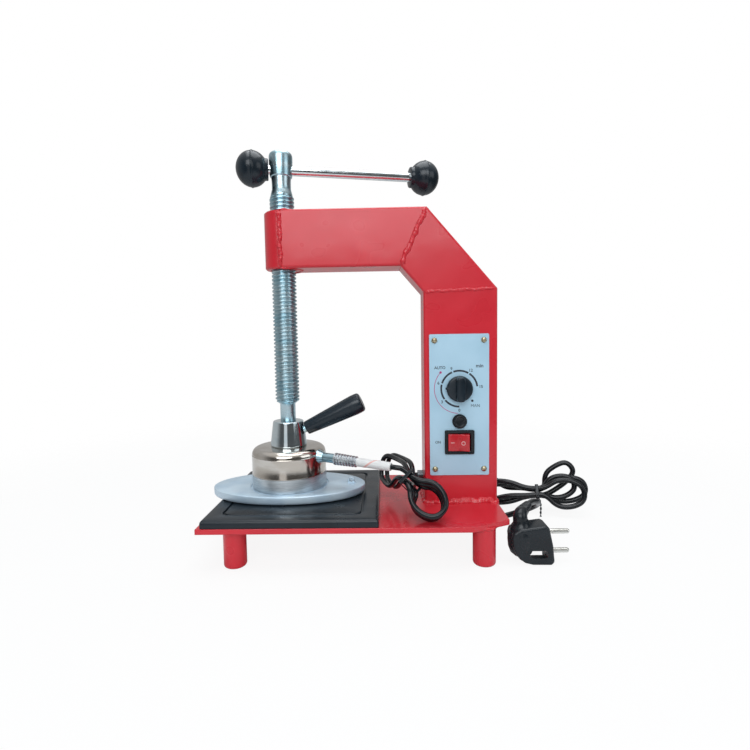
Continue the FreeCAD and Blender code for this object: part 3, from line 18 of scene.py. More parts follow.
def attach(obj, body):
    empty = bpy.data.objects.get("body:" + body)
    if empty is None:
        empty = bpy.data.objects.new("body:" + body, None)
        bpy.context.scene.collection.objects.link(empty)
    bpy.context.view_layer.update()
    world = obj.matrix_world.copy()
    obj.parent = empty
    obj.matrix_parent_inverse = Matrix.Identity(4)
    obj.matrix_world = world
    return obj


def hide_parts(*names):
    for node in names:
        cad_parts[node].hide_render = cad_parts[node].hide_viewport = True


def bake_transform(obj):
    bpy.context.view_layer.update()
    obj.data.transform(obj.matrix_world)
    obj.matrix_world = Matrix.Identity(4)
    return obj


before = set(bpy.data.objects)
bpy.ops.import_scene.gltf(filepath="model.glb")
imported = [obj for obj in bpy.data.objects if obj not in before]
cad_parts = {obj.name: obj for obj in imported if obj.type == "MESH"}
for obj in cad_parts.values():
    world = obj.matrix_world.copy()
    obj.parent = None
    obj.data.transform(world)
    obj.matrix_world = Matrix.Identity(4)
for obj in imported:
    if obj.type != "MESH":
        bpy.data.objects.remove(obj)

for stray in ("Cube", "Light", "Camera"):
    if stray in bpy.data.objects:
        bpy.data.objects.remove(bpy.data.objects[stray])
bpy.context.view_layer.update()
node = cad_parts
scene = bpy.context.scene
MM = 0.001
TURN = 2 * math.pi

# %% [markdown]
# ## The camera
# A camera can be placed by eye, but then the proportions of near and far pieces never quite
# agree with a photograph. Here its place, its three turns and its focal length were fitted to
# about forty points of the press, and they are only written down. The focal length is in
# picture points, so it is turned into millimetres of a 36 mm sensor.

# %% Camera
CAMERA_PLACE = (0.0355, -0.5210, 0.2174)
CAMERA_YAW = 0.01896
CAMERA_PITCH = -0.07223
CAMERA_ROLL = -0.01627
FOCAL_POINTS = 477.58
PICTURE_SIDE = 750.0


def unit(vector):
    """A vector, or a table of them, divided by its length."""
    vector = np.asarray(vector, float)
    return vector / np.linalg.norm(vector, axis=-1, keepdims=True)


def stand(thing, right, up, back, place):
    """Stands a camera or lamp at a place, its own axes along right, up and back."""
    thing.matrix_world = Matrix(
        np.column_stack([right, up, back, place]).tolist() + [[0, 0, 0, 1]])
    scene.collection.objects.link(thing)


def camera_ways(yaw, pitch, roll):
    """Right, forward and up as rows: a turn about up, then about right, then about forward."""
    cy, sy, cp, sp = math.cos(yaw), math.sin(yaw), math.cos(pitch), math.sin(pitch)
    cr, sr = math.cos(roll), math.sin(roll)
    about_up = np.array([[cy, sy, 0], [-sy, cy, 0], [0, 0, 1]])
    about_right = np.array([[1, 0, 0], [0, cp, sp], [0, -sp, cp]])
    about_forward = np.array([[cr, 0, sr], [0, 1, 0], [-sr, 0, cr]])
    return about_forward @ about_right @ about_up


right_way, forward_way, up_way = camera_ways(CAMERA_YAW, CAMERA_PITCH, CAMERA_ROLL)
lens = bpy.data.cameras.new("camera")
lens.sensor_width = 36.0
lens.lens = FOCAL_POINTS / PICTURE_SIDE * lens.sensor_width
lens.clip_start, lens.clip_end = 0.01, 20.0
camera = bpy.data.objects.new("camera", lens)
stand(camera, right_way, up_way, -forward_way, CAMERA_PLACE)
scene.camera = camera
print("focal length", round(lens.lens, 2), "mm")

# %% [markdown]
# ## A plain studio
# Painted steel, zinc and polished metal live from what they mirror. One large soft lamp stands
# in front and above, a weaker one at the right, and one overhead. Mirror rays see a room that
# is mid grey behind the press and dark at the right and in front of it, where a photographer
# would stand, with a light ceiling and one tall bright window: these give the round metal
# pieces their light and dark bands. The camera sees plain white.

# %% Lamps
scene.view_settings.view_transform = "Standard"


def soft_lamp(name, place, target, wide, high, power):
    """A rectangular lamp whose own -Z looks from place to target."""
    lamp = bpy.data.lights.new(name, "AREA")
    lamp.shape = "RECTANGLE"
    lamp.size, lamp.size_y, lamp.energy = wide, high, power
    lamp.color = (0.93, 0.97, 1.0)
    away = unit(np.subtract(place, target))
    side = unit(np.cross((0, 0, 1), away))
    stand(bpy.data.objects.new(name, lamp), side, np.cross(away, side), away, place)


soft_lamp("lamp_front", (-0.20, -1.45, 0.98), (0, 0, 0.20), 1.3, 0.8, 14.0)
soft_lamp("lamp_right", (1.45, -0.75, 0.70), (0, 0, 0.18), 0.9, 0.9, 4.5)
soft_lamp("lamp_top", (0.05, 0.0, 1.50), (0.05, 0.01, 0.1), 1.2, 1.2, 15.0)

# %% Small helpers for nodes


def feed(tree, made, inputs):
    """Gives a node's inputs their values: sockets are joined, numbers set, None left alone."""
    for socket, value in inputs.items():
        if isinstance(value, bpy.types.NodeSocket):
            tree.links.new(value, made.inputs[socket])
        elif value is not None:
            made.inputs[socket].default_value = value


def added(tree, kind, inputs=None, **settings):
    """A new shader node with its settings and inputs."""
    made = tree.nodes.new("ShaderNode" + kind)
    for name, value in settings.items():
        setattr(made, name, value)
    feed(tree, made, inputs or {})
    return made


def maths(tree, work, first, second=None):
    """A Math node; first and second are sockets or numbers."""
    return added(tree, "Math", {0: first, 1: second}, operation=work).outputs[0]


def ranged(tree, source, low, high, to_low, to_high):
    """A Map Range node: low..high becomes to_low..to_high, and it stops at both ends."""
    return added(tree, "MapRange", {"Value": source, "From Min": low, "From Max": high,
                                    "To Min": to_low, "To Max": to_high},
                 interpolation_type="SMOOTHSTEP").outputs["Result"]


def mixed(tree, share, first, second):
    """A Mix Shader node of two shader nodes."""
    return added(tree, "MixShader", {0: share, 1: first.outputs[0], 2: second.outputs[0]})


def new_finish(name, values):
    """A node material with the shader's own numbers set; gives it, its tree and the shader."""
    material = bpy.data.materials.new(name)
    material.use_nodes = True
    tree = material.node_tree
    feed(tree, tree.nodes["Principled BSDF"], values)
    return material, tree, tree.nodes["Principled BSDF"]


print("node helpers ready")

# %% The room
world = bpy.data.worlds.new("studio")
scene.world = world
world.use_nodes = True
sky = world.node_tree
sky.nodes.clear()
rays = added(sky, "LightPath").outputs
way = added(sky, "SeparateXYZ", {0: added(sky, "TexCoord").outputs["Generated"]}).outputs
slanted = maths(sky, "ADD", way["Y"], maths(sky, "MULTIPLY", way["X"], -0.8))
behind = ranged(sky, slanted, -0.25, 0.75, 0.10, 0.50)
above = ranged(sky, way["Z"], 0.2, 0.9, 0.0, 0.8)
off_window = maths(sky, "ABSOLUTE", maths(sky, "ADD", way["X"], 0.16))
window = maths(sky, "MULTIPLY", ranged(sky, off_window, 0.14, 0.24, 0.8, 0.0),
               ranged(sky, way["Y"], -0.7, -0.5, 1.0, 0.0))
mirrored = maths(sky, "MAXIMUM", maths(sky, "MAXIMUM", behind, above), window)
seen = maths(sky, "MAXIMUM", mirrored, rays["Is Camera Ray"])
plain_room = added(sky, "Background", {"Color": (0.93, 0.96, 1.0, 1), "Strength": 0.34})
mirror_room = added(sky, "Background", {"Color": (1, 1, 1, 1), "Strength": seen})
sharp_rays = maths(sky, "MAXIMUM", maths(sky, "MAXIMUM", rays["Is Camera Ray"],
                                         rays["Is Glossy Ray"]), rays["Is Transmission Ray"])
added(sky, "OutputWorld", {0: mixed(sky, sharp_rays, plain_room, mirror_room).outputs[0]})
print(world.name, len(sky.nodes), "nodes")

# %% [markdown]
# ## Surfaces from tables of points
# A skin is a table of points with rows and columns. Four neighbours make a face, so the faces
# follow from the table's size alone and numpy works them all out at once. Where a skin closes
# on itself the last column repeats the first, and where it ends in a tip a whole row is one
# point. Merging what lies in one place closes both.

# %% From a table of points to a piece


def grid_faces(rows, columns):
    """Point numbers of each four-cornered face of a table."""
    first = np.arange(rows * columns).reshape(rows, columns)
    corners = (first[:-1, :-1], first[:-1, 1:], first[1:, 1:], first[1:, :-1])
    return np.stack(corners, axis=-1).reshape(-1, 4)


def as_piece(name, mesh, work, material):
    """Turns the faces of a bmesh outwards and makes a piece of them."""
    bmesh.ops.recalc_face_normals(work, faces=work.faces)
    work.to_mesh(mesh)
    work.free()
    mesh.materials.append(material)
    piece = bpy.data.objects.new(name, mesh)
    scene.collection.objects.link(piece)
    print(name, len(mesh.polygons), "faces")
    return piece


def skin(name, tables, material, sharp=35.0, chart=None):
    """One piece from one or more tables of points (rows, columns, 3) in millimetres.

    chart is a table of (around, along) numbers for a pattern that follows the surface.
    """
    tables = tables if isinstance(tables, list) else [tables]
    points = np.concatenate([t.reshape(-1, 3) for t in tables]) * MM
    starts = np.cumsum([0] + [t.shape[0] * t.shape[1] for t in tables])
    faces = np.concatenate([
        grid_faces(t.shape[0], t.shape[1]) + start for t, start in zip(tables, starts)])
    mesh = bpy.data.meshes.new(name)
    mesh.from_pydata(points.tolist(), [], faces.tolist())
    if chart is not None:
        layer = mesh.uv_layers.new(name="chart")
        layer.data.foreach_set("uv", chart.reshape(-1, 2)[faces.ravel()].ravel())
    work = bmesh.new()
    work.from_mesh(mesh)
    bmesh.ops.remove_doubles(work, verts=work.verts, dist=2e-6)
    bmesh.ops.dissolve_degenerate(work, edges=work.edges, dist=1e-7)
    piece = as_piece(name, mesh, work, material)
    mesh.shade_smooth()
    mesh.set_sharp_from_angle(angle=math.radians(sharp))
    return piece


print("a table of 3 by 4 points has", len(grid_faces(3, 4)), "faces")

# %% Rows that close, stack and turn


def smooth(share):
    """From 0 to 1 with level ends: 3 s squared less 2 s cubed."""
    share = np.clip(share, 0, 1)
    return share * share * (3 - 2 * share)


def capped(table):
    """Closes a tube's two open ends with a row at the middle of each."""
    first = np.broadcast_to(table[:1, :-1].mean(axis=1, keepdims=True), table[:1].shape)
    last = np.broadcast_to(table[-1:, :-1].mean(axis=1, keepdims=True), table[-1:].shape)
    return np.concatenate([first, table, last])


def layers(rings):
    """Table from pairs of an outline (points, 2), which stands in x and z, and its y."""
    return np.stack([np.c_[flat[:, 0], np.full(len(flat), y), flat[:, 1]] for flat, y in rings])


ABOUT_Y = [(1, 0, 0), (0, 0, 1), (0, 1, 0)]


def turned(profile, origin, columns=96, axes=np.eye(3), extra=0):
    """Table of a turned piece: origin + r cos turn, r sin turn and height along three axes.

    The profile's rows are (r, height), or (r of cos, r of sin, height) for an oval. extra is
    added to r, and may be a table for ribs and flutes.
    """
    turn = np.linspace(0, TURN, columns + 1)
    wide, deep, height = np.asarray(profile, float)[:, [0, -2, -1]].T[..., None]
    table = np.broadcast_arrays((wide + extra) * np.cos(turn), (deep + extra) * np.sin(turn),
                                height)
    return origin + np.stack(table, axis=-1) @ np.asarray(axes, float)


print("a turned cone has rows of", turned([(1, 0), (0, 1)], 0).shape[1], "points")

# %% The floor
# White paint that turns clear with distance, and that camera rays see whiter.
FLOOR_REACH = 1600.0
floor_finish, tree, paint = new_finish("floor_white", {
    "Base Color": (0.80, 0.80, 0.80, 1), "Roughness": 0.9, "Specular IOR Level": 0.1})
distance = added(tree, "VectorMath", {0: added(tree, "TexCoord").outputs["Object"]},
                 operation="LENGTH").outputs["Value"]
share = maths(tree, "MULTIPLY", added(tree, "LightPath").outputs["Is Camera Ray"], 0.90)
lit = mixed(tree, share, paint, added(tree, "Emission"))
fading = mixed(tree, ranged(tree, distance, 0.35, 0.95, 0.0, 1.0), lit,
               added(tree, "BsdfTransparent"))
feed(tree, tree.nodes["Material Output"], {"Surface": fading.outputs[0]})
spread = np.linspace(-FLOOR_REACH, FLOOR_REACH, 33)
floor_x, floor_y = np.meshgrid(spread, spread)
floor = skin("floor", np.stack([floor_x, floor_y, np.zeros_like(floor_x)], axis=-1), floor_finish)
print("floor", 2 * FLOOR_REACH * MM, "m wide")

# %% [markdown]
# ## Finishes
# No real surface has one colour. Each finish here starts from two near colours mixed by cloudy
# noise, a roughness that drifts between two values, and a fine bump. The noise is read in the
# piece's own coordinates, which are metres of the model, so a grain keeps its size. Stretching
# it along one axis turns cloud into brush lines. Numbers that are the same everywhere are set
# on the shader itself.

# %% A finish from noise


def noise(tree, size, stretch=(1, 1, 1), detail=3.0):
    """Cloudy noise with grains of about size; a large stretch makes them finer that way."""
    place = added(tree, "TexCoord").outputs["Object"]
    scaled = added(tree, "Mapping", {"Vector": place,
                                     "Scale": [s / (size * MM) for s in stretch]})
    return added(tree, "TexNoise", {"Vector": scaled.outputs["Vector"], "Scale": 1.0,
                                    "Detail": detail}).outputs["Fac"]


def two_colours(tree, share, first, second):
    """Mixes two colours, each a triple or a socket, by a socket that runs from 0 to 1."""
    first, second = [c if isinstance(c, bpy.types.NodeSocket) else (*c, 1)
                     for c in (first, second)]
    return added(tree, "Mix", {0: share, 6: first, 7: second}, data_type="RGBA").outputs[2]


def bumped(tree, height, depth, strength=1.0, below=None):
    """A Bump node of a depth; below is a bump that it lies on."""
    return added(tree, "Bump", {"Height": height, "Distance": depth * MM, "Strength": strength,
                                "Normal": below}).outputs["Normal"]


def soft_edges(tree, size):
    """Rounds the light on a solid's sharp edges by a size."""
    return added(tree, "Bevel", {"Radius": size * MM}, samples=6).outputs["Normal"]


def finish(name, first, second, rough, cloud, grain, depth, values=None, edge=0,
           stretch=(1, 1, 1)):
    """The common finish: two colours and two roughnesses by cloud, a bump by grain.

    cloud and grain are sizes, depth is the bump's depth, and edge rounds sharp edges.
    """
    material, tree, shader = new_finish(name, values or {})
    drift = ranged(tree, noise(tree, cloud, stretch), 0.35, 0.65, 0.0, 1.0)
    mottle = noise(tree, cloud * 0.45, stretch)
    below = soft_edges(tree, edge) if edge else None
    feed(tree, shader, {
        "Base Color": two_colours(tree, drift, first, second),
        "Roughness": ranged(tree, mottle, 0.3, 0.7, *rough),
        "Normal": bumped(tree, noise(tree, grain, stretch, 2.0), depth, 1.0, below)})
    return material


print("finish helper ready")

# %% Finishes of the press
# Colours, the two roughnesses, sizes of cloud and grain, depth of the bump, and what else.
METAL = {"Metallic": 1.0}
DULL = {"Specular IOR Level": 0.35}
FINISHES = [
    ("zinc_steel", (0.33, 0.50, 0.57), (0.45, 0.56, 0.60), (0.27, 0.34), 30, 1.2, 0.001, METAL,
     0, (1, 1, 4)),
    ("dark_zinc", (0.10, 0.11, 0.12), (0.16, 0.17, 0.18), (0.3, 0.4), 10, 1.0, 0.004, METAL),
    ("bright_bar", (0.62, 0.68, 0.70), (0.72, 0.76, 0.77), (0.12, 0.20), 30, 0.8, 0.002, METAL),
    ("machined_aluminium", (0.48, 0.53, 0.56), (0.62, 0.66, 0.69), (0.30, 0.38), 12, 0.5, 0.003,
     METAL, 0, (1, 1, 12)),
    ("cast_aluminium", (0.46, 0.59, 0.70), (0.56, 0.68, 0.77), (0.36, 0.48), 30, 0.5, 0.03,
     {"Metallic": 0.4}, 0.6),
    ("nickel", (0.66, 0.66, 0.62), (0.76, 0.75, 0.71), (0.14, 0.24), 10, 0.6, 0.002, METAL),
    ("yellow_zinc", (0.34, 0.28, 0.17), (0.52, 0.46, 0.33), (0.22, 0.38), 3, 0.4, 0.01, METAL,
     0.2),
    ("rib_silver", (0.50, 0.53, 0.56), (0.62, 0.65, 0.67), (0.27, 0.34), 6, 0.5, 0.002,
     {"Metallic": 0.85}),
    ("black_knob", (0.006, 0.012, 0.018), (0.010, 0.018, 0.026), (0.22, 0.27), 30, 0.8, 0.001,
     DULL),
    ("black_plastic", (0.006, 0.009, 0.012), (0.010, 0.014, 0.018), (0.24, 0.30), 20, 0.4,
     0.002, DULL),
    ("cord_black", (0.003, 0.004, 0.006), (0.005, 0.007, 0.009), (0.15, 0.19), 20, 1.2, 0.002,
     {"Specular IOR Level": 0.32}),
    ("pad_rubber", (0.005, 0.009, 0.013), (0.008, 0.014, 0.020), (0.27, 0.34), 40, 0.5, 0.01,
     DULL),
    ("cream_plastic", (0.70, 0.66, 0.56), (0.80, 0.77, 0.68), (0.40, 0.50), 20, 0.6, 0.02,
     None, 0.4),
    ("mica_board", (0.46, 0.41, 0.33), (0.62, 0.57, 0.48), (0.55, 0.70), 8, 0.6, 0.05),
    ("fuse_glass_clear", (0.95, 0.97, 0.96), (0.98, 0.98, 0.98), (0.02, 0.05), 10, 0.8, 0.005,
     {"Transmission Weight": 1.0}),
    ("panel_sheet", (0.38, 0.58, 0.71), (0.43, 0.63, 0.76), (0.30, 0.40), 50, 0.7, 0.01, None,
     0.3),
    ("panel_ink", (0.012, 0.016, 0.03), (0.03, 0.036, 0.05), (0.45, 0.60), 4, 0.4, 0.01),
    ("red_ink", (0.42, 0.01, 0.13), (0.48, 0.03, 0.18), (0.45, 0.60), 4, 0.4, 0.01),
    ("red_rocker", (0.46, 0.010, 0.018), (0.54, 0.014, 0.024), (0.20, 0.28), 10, 0.6, 0.004,
     {"Coat Weight": 0.2}, 0.4),
    ("pale_mark", (0.80, 0.62, 0.60), (0.86, 0.72, 0.70), (0.40, 0.50), 4, 0.4, 0.01)]
coat = {row[0]: finish(*row) for row in FINISHES}
print(len(coat), "finishes so far")

# %% [markdown]
# ## The two cords
# A cord on a bench press keeps the bend it was packed in. Both cords here are folded in hanks
# with a tie round the waist. Their routes are a few dozen points, and a smooth NURBS line
# passes between them. At each fold the stations say where the cord is and which way it runs,
# and the two tangents meet in the points that pull the line round.

# %% Stations of a hank and the points between them
MAINS_DIAMETER = 6.4
HEATER_DIAMETER = 5.3
MAINS_SPACING = 7.5
HEATER_SPACING = 7.1


def square(axis, hint, way):
    """An axis, the way across it that is nearest to a hint, and the third way."""
    axis = unit(axis)
    top = unit(hint - axis * np.dot(hint, axis))
    return axis, top, np.cross(axis, top) * way


def lobe(out, hint, way, reach, half, lean, first, second):
    """One side of a hank: out along it, top across its two runs, stack from layer to layer."""
    out, top, stack = square(out, hint, way)
    return {"out": out, "top": top, "stack": stack, "reach": reach, "half": half, "lean": lean,
            "first": first, "second": second}


def in_lobe(waist, side, along, across, layer, lean=0.0):
    """A place in a lobe; its out and top are turned by lean degrees about its stack."""
    angle = math.radians(lean)
    stack = side["stack"]
    out = side["out"] * math.cos(angle) + np.cross(stack, side["out"]) * math.sin(angle)
    top = side["top"] * math.cos(angle) + np.cross(stack, side["top"]) * math.sin(angle)
    return waist + out * along + top * across + stack * layer, out, top


def fold_over(waist, side, fold, layer, after, way):
    """Three stations of a lobe: out on one run, over its tip, and back on the other run."""
    reach, half, lean = side["reach"][fold], side["half"][fold] * way, side["lean"][fold]
    there, out, up = in_lobe(waist, side, reach * side["first"], half, layer, lean)
    tip = in_lobe(waist, side, reach, 0, layer, lean)[0]
    back = in_lobe(waist, side, reach * side["second"], -half, after, lean)[0]
    return [(there, out), (tip, -up * way), (back, -out)]


def hank_stations(waist, ways, right, left, spacing, step, start, finish_at):
    """Places and directions of a hank that folds right and left of its tied waist; step is
    from layer to layer in its lobes."""
    axis, top, stack = ways
    folds = len(right["reach"])
    stations = []
    for fold in range(folds):
        middle = fold - (folds - 1) / 2
        row = stack * middle * spacing
        layer = middle * step
        stations += start if fold == 0 else [(waist + top * spacing / 2 + row, axis)]
        stations += fold_over(waist, right, fold, layer, layer, 1)
        stations.append((waist - top * spacing / 2 + row, -axis))
        if fold < folds - 1:
            stations += fold_over(waist, left, fold, layer, layer + step, -1)
    return stations + finish_at


print("hank rows", HEATER_SPACING, "and", MAINS_SPACING, "mm apart")

# %% A route as a NURBS line


def pull_points(stations):
    """Between two stations the tangents are cut at one reach, where their ends are twice as
    far apart as the reach, which gives two points that pull the line."""
    points = []
    for (place, way_here), (after, way_there) in zip(stations, stations[1:]):
        step = after - place
        aside = [np.linalg.norm(np.cross(step, one)) for one in (way_here, way_there)]
        if max(aside) < 1e-4:
            continue
        spread = 2 * (1 - way_here @ way_there)
        along = step @ (way_here + way_there)
        if spread < 1e-9:
            reach = step @ step / (4 * step @ way_there)
        else:
            reach = (math.sqrt(along ** 2 + spread * step @ step) - along) / spread
        points += [place + way_here * reach, after - way_there * reach]
    return points


def route_line(name, points, diameter=0.0):
    """A NURBS line of order 3 through a route in millimetres, round where it has a diameter."""
    curve = bpy.data.curves.new(name, "CURVE")
    curve.dimensions = "3D"
    curve.resolution_u = 10
    curve.bevel_depth = diameter / 2 * MM
    curve.bevel_resolution = 5
    curve.use_fill_caps = diameter > 0
    spline = curve.splines.new("NURBS")
    spline.points.add(len(points) - 1)
    homogeneous = np.c_[np.array(points) * MM, np.ones(len(points))]
    spline.points.foreach_set("co", homogeneous.ravel())
    spline.order_u = 3
    spline.use_endpoint_u = True
    spline.use_smooth = True
    line = bpy.data.objects.new(name, curve)
    scene.collection.objects.link(line)
    return line


def read_line(name, points):
    """Places along a route, in millimetres, as Blender gives them for its NURBS line."""
    line = route_line(name, points)
    bpy.context.view_layer.update()
    mesh = bpy.data.meshes.new_from_object(line)
    places = np.empty(3 * len(mesh.vertices))
    mesh.vertices.foreach_get("co", places)
    bpy.data.objects.remove(line)
    return places.reshape(-1, 3) / MM


print("a route becomes a NURBS line of order 3")

# %% A tube along a line


def travelled(places):
    """How far a line has run at each of its places."""
    return np.concatenate([[0], np.cumsum(np.linalg.norm(np.diff(places, axis=0), axis=1))])


def read_at(places, wanted):
    """Places of a line at wanted distances along it."""
    run = travelled(places)
    return np.stack([np.interp(wanted, run, places[:, k]) for k in range(3)], axis=1)


def line_frames(places):
    """Two ways across a line's tangents, from the direction least like any of them."""
    tangents = unit(np.gradient(places, axis=0))
    count = 400
    lift = 1 - (np.arange(count) + 0.5) / count
    turn = np.arange(count) * math.pi * (3 - math.sqrt(5))
    flat = np.sqrt(1 - lift ** 2)
    ways = np.stack([flat * np.cos(turn), flat * np.sin(turn), lift], axis=1)
    best = ways[np.abs(ways @ tangents.T).max(axis=1).argmin()]
    side = unit(best - tangents * (tangents @ best)[:, None])
    return side, np.cross(tangents, side)


def tube(places, radii, columns=24):
    """Table of a round tube: place plus radius times (cos turn, sin turn) across the tangent.

    radii is one number, one for each place, or one for each place and column.
    """
    side, other = line_frames(places)
    turn = np.linspace(0, TURN, columns + 1)
    radii = np.broadcast_to(np.asarray(radii, float).reshape(-1, 1) if np.ndim(radii) < 2
                            else radii, (len(places), columns + 1))
    ring = side[:, None] * np.cos(turn)[:, None] + other[:, None] * np.sin(turn)[:, None]
    return places[:, None] + ring * radii[..., None]


print("a tube of 24 columns")

# %% [markdown]
# ## Heater cable
# The thin black cable leaves the white sleeve, makes a small tied hank of three folds on the
# plate, and goes into the column. When the head rises it has to follow at one end and stay in
# the column at the other; here the cord is one mesh, a tube round its route, that stays where it
# lies.

# %% Heater cable
SCREW_X = -71.0
SCREW = (SCREW_X, 0, 0)
OUTLET_TURN = math.radians(-25.0)
OUTLET_DROOP = math.radians(1.8)
OUTLET_HEIGHT = 94.0
COVER_RADIUS = 40.4
SLEEVE_FROM = 86.0
SLEEVE_TO = 123.7
ENTRY = np.array([71.5, 8.0, 66.0])
outlet_step = np.array([math.cos(OUTLET_TURN), math.sin(OUTLET_TURN), -math.tan(OUTLET_DROOP)])
outlet_way = unit(outlet_step)


def on_outlet(reach):
    """A place on the cable outlet's line, reach millimetres out from the screw's axis."""
    start = (SCREW_X, 0, OUTLET_HEIGHT + COVER_RADIUS * math.tan(OUTLET_DROOP))
    return start + outlet_step * reach


heater_waist = np.array([61.6, -61.0, 77.3])
heater_ways = square([0.45, -0.87, -0.20], [0.74, 0.12, 0.67], -1)
front_lobe = lobe([0.57, -0.42, -0.56], [0.92, 0.20, 0.40], -1, [41, 40, 39], [15, 14.5, 14],
                  [0, 0, 0], 0.55, 0.55)
back_lobe = lobe([-0.27, 0.95, -0.06], [0.22, -0.10, 0.95], 1, [82, 87], [14, 15], [0, 0],
                 0.66, 0.48)
lead_way = unit([0.62, -0.68, -0.39])
lead_end = (heater_waist + heater_ways[1] * (HEATER_SPACING / 2 + 0.6)
            - heater_ways[2] * (HEATER_SPACING + 0.8))
tail_way = back_lobe["out"]
HEATER_STEP = HEATER_SPACING + 1.1
tail_start = in_lobe(heater_waist, back_lobe, 18.0, -HEATER_SPACING * 0.8, HEATER_STEP)[0]
heater_stations = hank_stations(heater_waist, heater_ways, front_lobe, back_lobe, HEATER_SPACING,
                                HEATER_STEP, [(lead_end, lead_way)], [(tail_start, tail_way)])
cable_start = on_outlet(SLEEVE_TO)
hank_in = lead_end - lead_way * HEATER_DIAMETER
hank_out = tail_start + tail_way * HEATER_DIAMETER
heater_route = [cable_start, cable_start + outlet_way * 6, hank_in - lead_way * 7,
                *pull_points(heater_stations), hank_out + tail_way * 11, (55, -8, 66),
                (58, 3, 65.5), ENTRY - (5, 0, 0), ENTRY + (8, 0, 0)]
heater_places = read_line("heater_line", heater_route)
heater_cable = skin("heater_cable", capped(tube(heater_places, HEATER_DIAMETER / 2, 20)),
                    coat["cord_black"], 60)

# %% [markdown]
# ## Ties
# A tie is a flat strip bent round the strands. Its section, a small rounded rectangle, is
# carried round a larger rounded rectangle. The one on the mains cord has its two ends twisted
# together, and they hang down: the same section, turned as it goes.

# %% Rounded outlines


def soft_rectangle(wide, high, corner, steps=6):
    """Outline of a rectangle with round corners: each quarter circle's middle is moved to its
    own corner, and the first point comes again at the end. Counter-clockwise, (points, 2)."""
    turn = np.concatenate([np.linspace(k, k + 1, steps) for k in range(4)] + [[0]]) * math.pi / 2
    quarter = np.concatenate([np.repeat(np.arange(4), steps), [0]])
    middle_x = np.array([1, -1, -1, 1])[quarter] * (wide / 2 - corner)
    middle_y = np.array([1, 1, -1, -1])[quarter] * (high / 2 - corner)
    return np.stack([middle_x + corner * np.cos(turn), middle_y + corner * np.sin(turn)], axis=1)


def tie_band(waist, ways, folds, spacing, diameter, slack):
    """A strip's section carried round the strands: its long side lies along the hank's axis."""
    axis, top, stack = ways
    wide = (folds - 1) * spacing + diameter + 2 * slack
    high = spacing + diameter + 2 * slack
    loop = soft_rectangle(wide + 1.0, high + 1.0, 1.5, 7)
    heading = np.gradient(loop, axis=0)
    heading[0] = heading[-1] = loop[1] - loop[-2]
    outwards = unit(np.stack([heading[:, 1], -heading[:, 0]], axis=1))
    section = soft_rectangle(0.92, 3.9, 0.4, 4)
    flat = loop[:, None] + outwards[:, None] * section[:, 0, None]
    along = np.broadcast_to(section[:, 1, None], (*flat.shape[:2], 1))
    return waist + np.concatenate([flat, along], axis=-1) @ np.stack([stack, top, axis])


heater_tie = skin("heater_tie", tie_band(heater_waist, heater_ways, 3, HEATER_SPACING,
                                         HEATER_DIAMETER, 1.8), coat["black_plastic"])
for piece in (heater_cable, heater_tie):
    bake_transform(piece)
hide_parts("heater_cable_tie")
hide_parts("heater_cable_lead", "heater_cable_hank", "heater_cable_tail")

# %% [markdown]
# ## Mains cord and plug
# The thicker cord leaves a gland behind the column, lies in a hank of four folds beside the
# press and comes round to the plug. It never moves, so a NURBS curve with a round bevel will
# do. The plug is one moulding: flat cheeks, a bent neck whose ribs let the cord flex, two
# round pins, and a finger hole to pull it by. Its back is hollow, so daylight shows in the
# hole: both are cut out of the closed body.

# %% Mains cord
PLUG_Y = -65.0
GLAND = np.array([118.0, 20.0, 65.0])
MAINS_STEP = MAINS_SPACING + 0.1
mains_waist = np.array([226.0, 72.0, 23.6])
mains_ways = square([0.96, -0.266, 0.10], [0.02, 0.36, 0.93], 1)
mains_axis, mains_up, mains_stack = mains_ways
right_lobe = lobe([0.964, -0.266, 0.12], [0, 0.25, 1], 1, [53, 57, 45, 54],
                  [11.5, 14.5, 12.5, 16], [34, 3, 12, -4], 0.6, 0.6)
left_lobe = lobe([-0.95, 0.27, -0.075], [0.02, 0.36, 0.93], -1, [80, 83, 88], [10, 11.5, 13],
                 [0, 0, 0], 0.52, 0.52)
way_out = left_lobe["out"]
start = in_lobe(mains_waist, left_lobe, 24.0, MAINS_SPACING * 0.8, -1.5 * MAINS_STEP)[0]
finish_at = in_lobe(mains_waist, left_lobe, 16.0, -MAINS_SPACING * 0.65, 1.5 * MAINS_STEP)[0]
first_row = mains_waist + mains_up * MAINS_SPACING / 2 - mains_stack * 1.5 * MAINS_SPACING
mains_stations = hank_stations(mains_waist, mains_ways, right_lobe, left_lobe, MAINS_SPACING,
                               MAINS_STEP, [(start, -way_out), (first_row, mains_axis)],
                               [(finish_at, way_out)])
mains_exit = GLAND + (0, 26, 0)
hank_in = start + way_out * MAINS_DIAMETER
hank_out = finish_at + way_out * MAINS_DIAMETER
elbow = np.array([166.0, PLUG_Y + 1, 47.0])
relief_way = unit([0.5, 0.866, -0.03])
cord_end = elbow + relief_way * 30
mains_route = [mains_exit, mains_exit + (0, 12, 0), (126, 74, 62), (141, 89, 55), (160, 101, 45),
               (180, 104, 33), hank_in + way_out * 10, *pull_points(mains_stations),
               hank_out + way_out * 14, (166, 75, 12), (147, 67, 7), (139, 49, 4.5),
               (149, 32, 5), (170, 27, 9), (191, 22, 17), (205, 6, 30), (200, -15, 42),
               cord_end + relief_way * 12, cord_end]
mains_cord = route_line("mains_cord", mains_route, MAINS_DIAMETER)
mains_cord.data.materials.append(coat["cord_black"])
mains_length = travelled(read_line("mains_line", mains_route))[-1] * MM
print("mains cord", round(mains_length, 3), "m,", len(mains_route), "points")

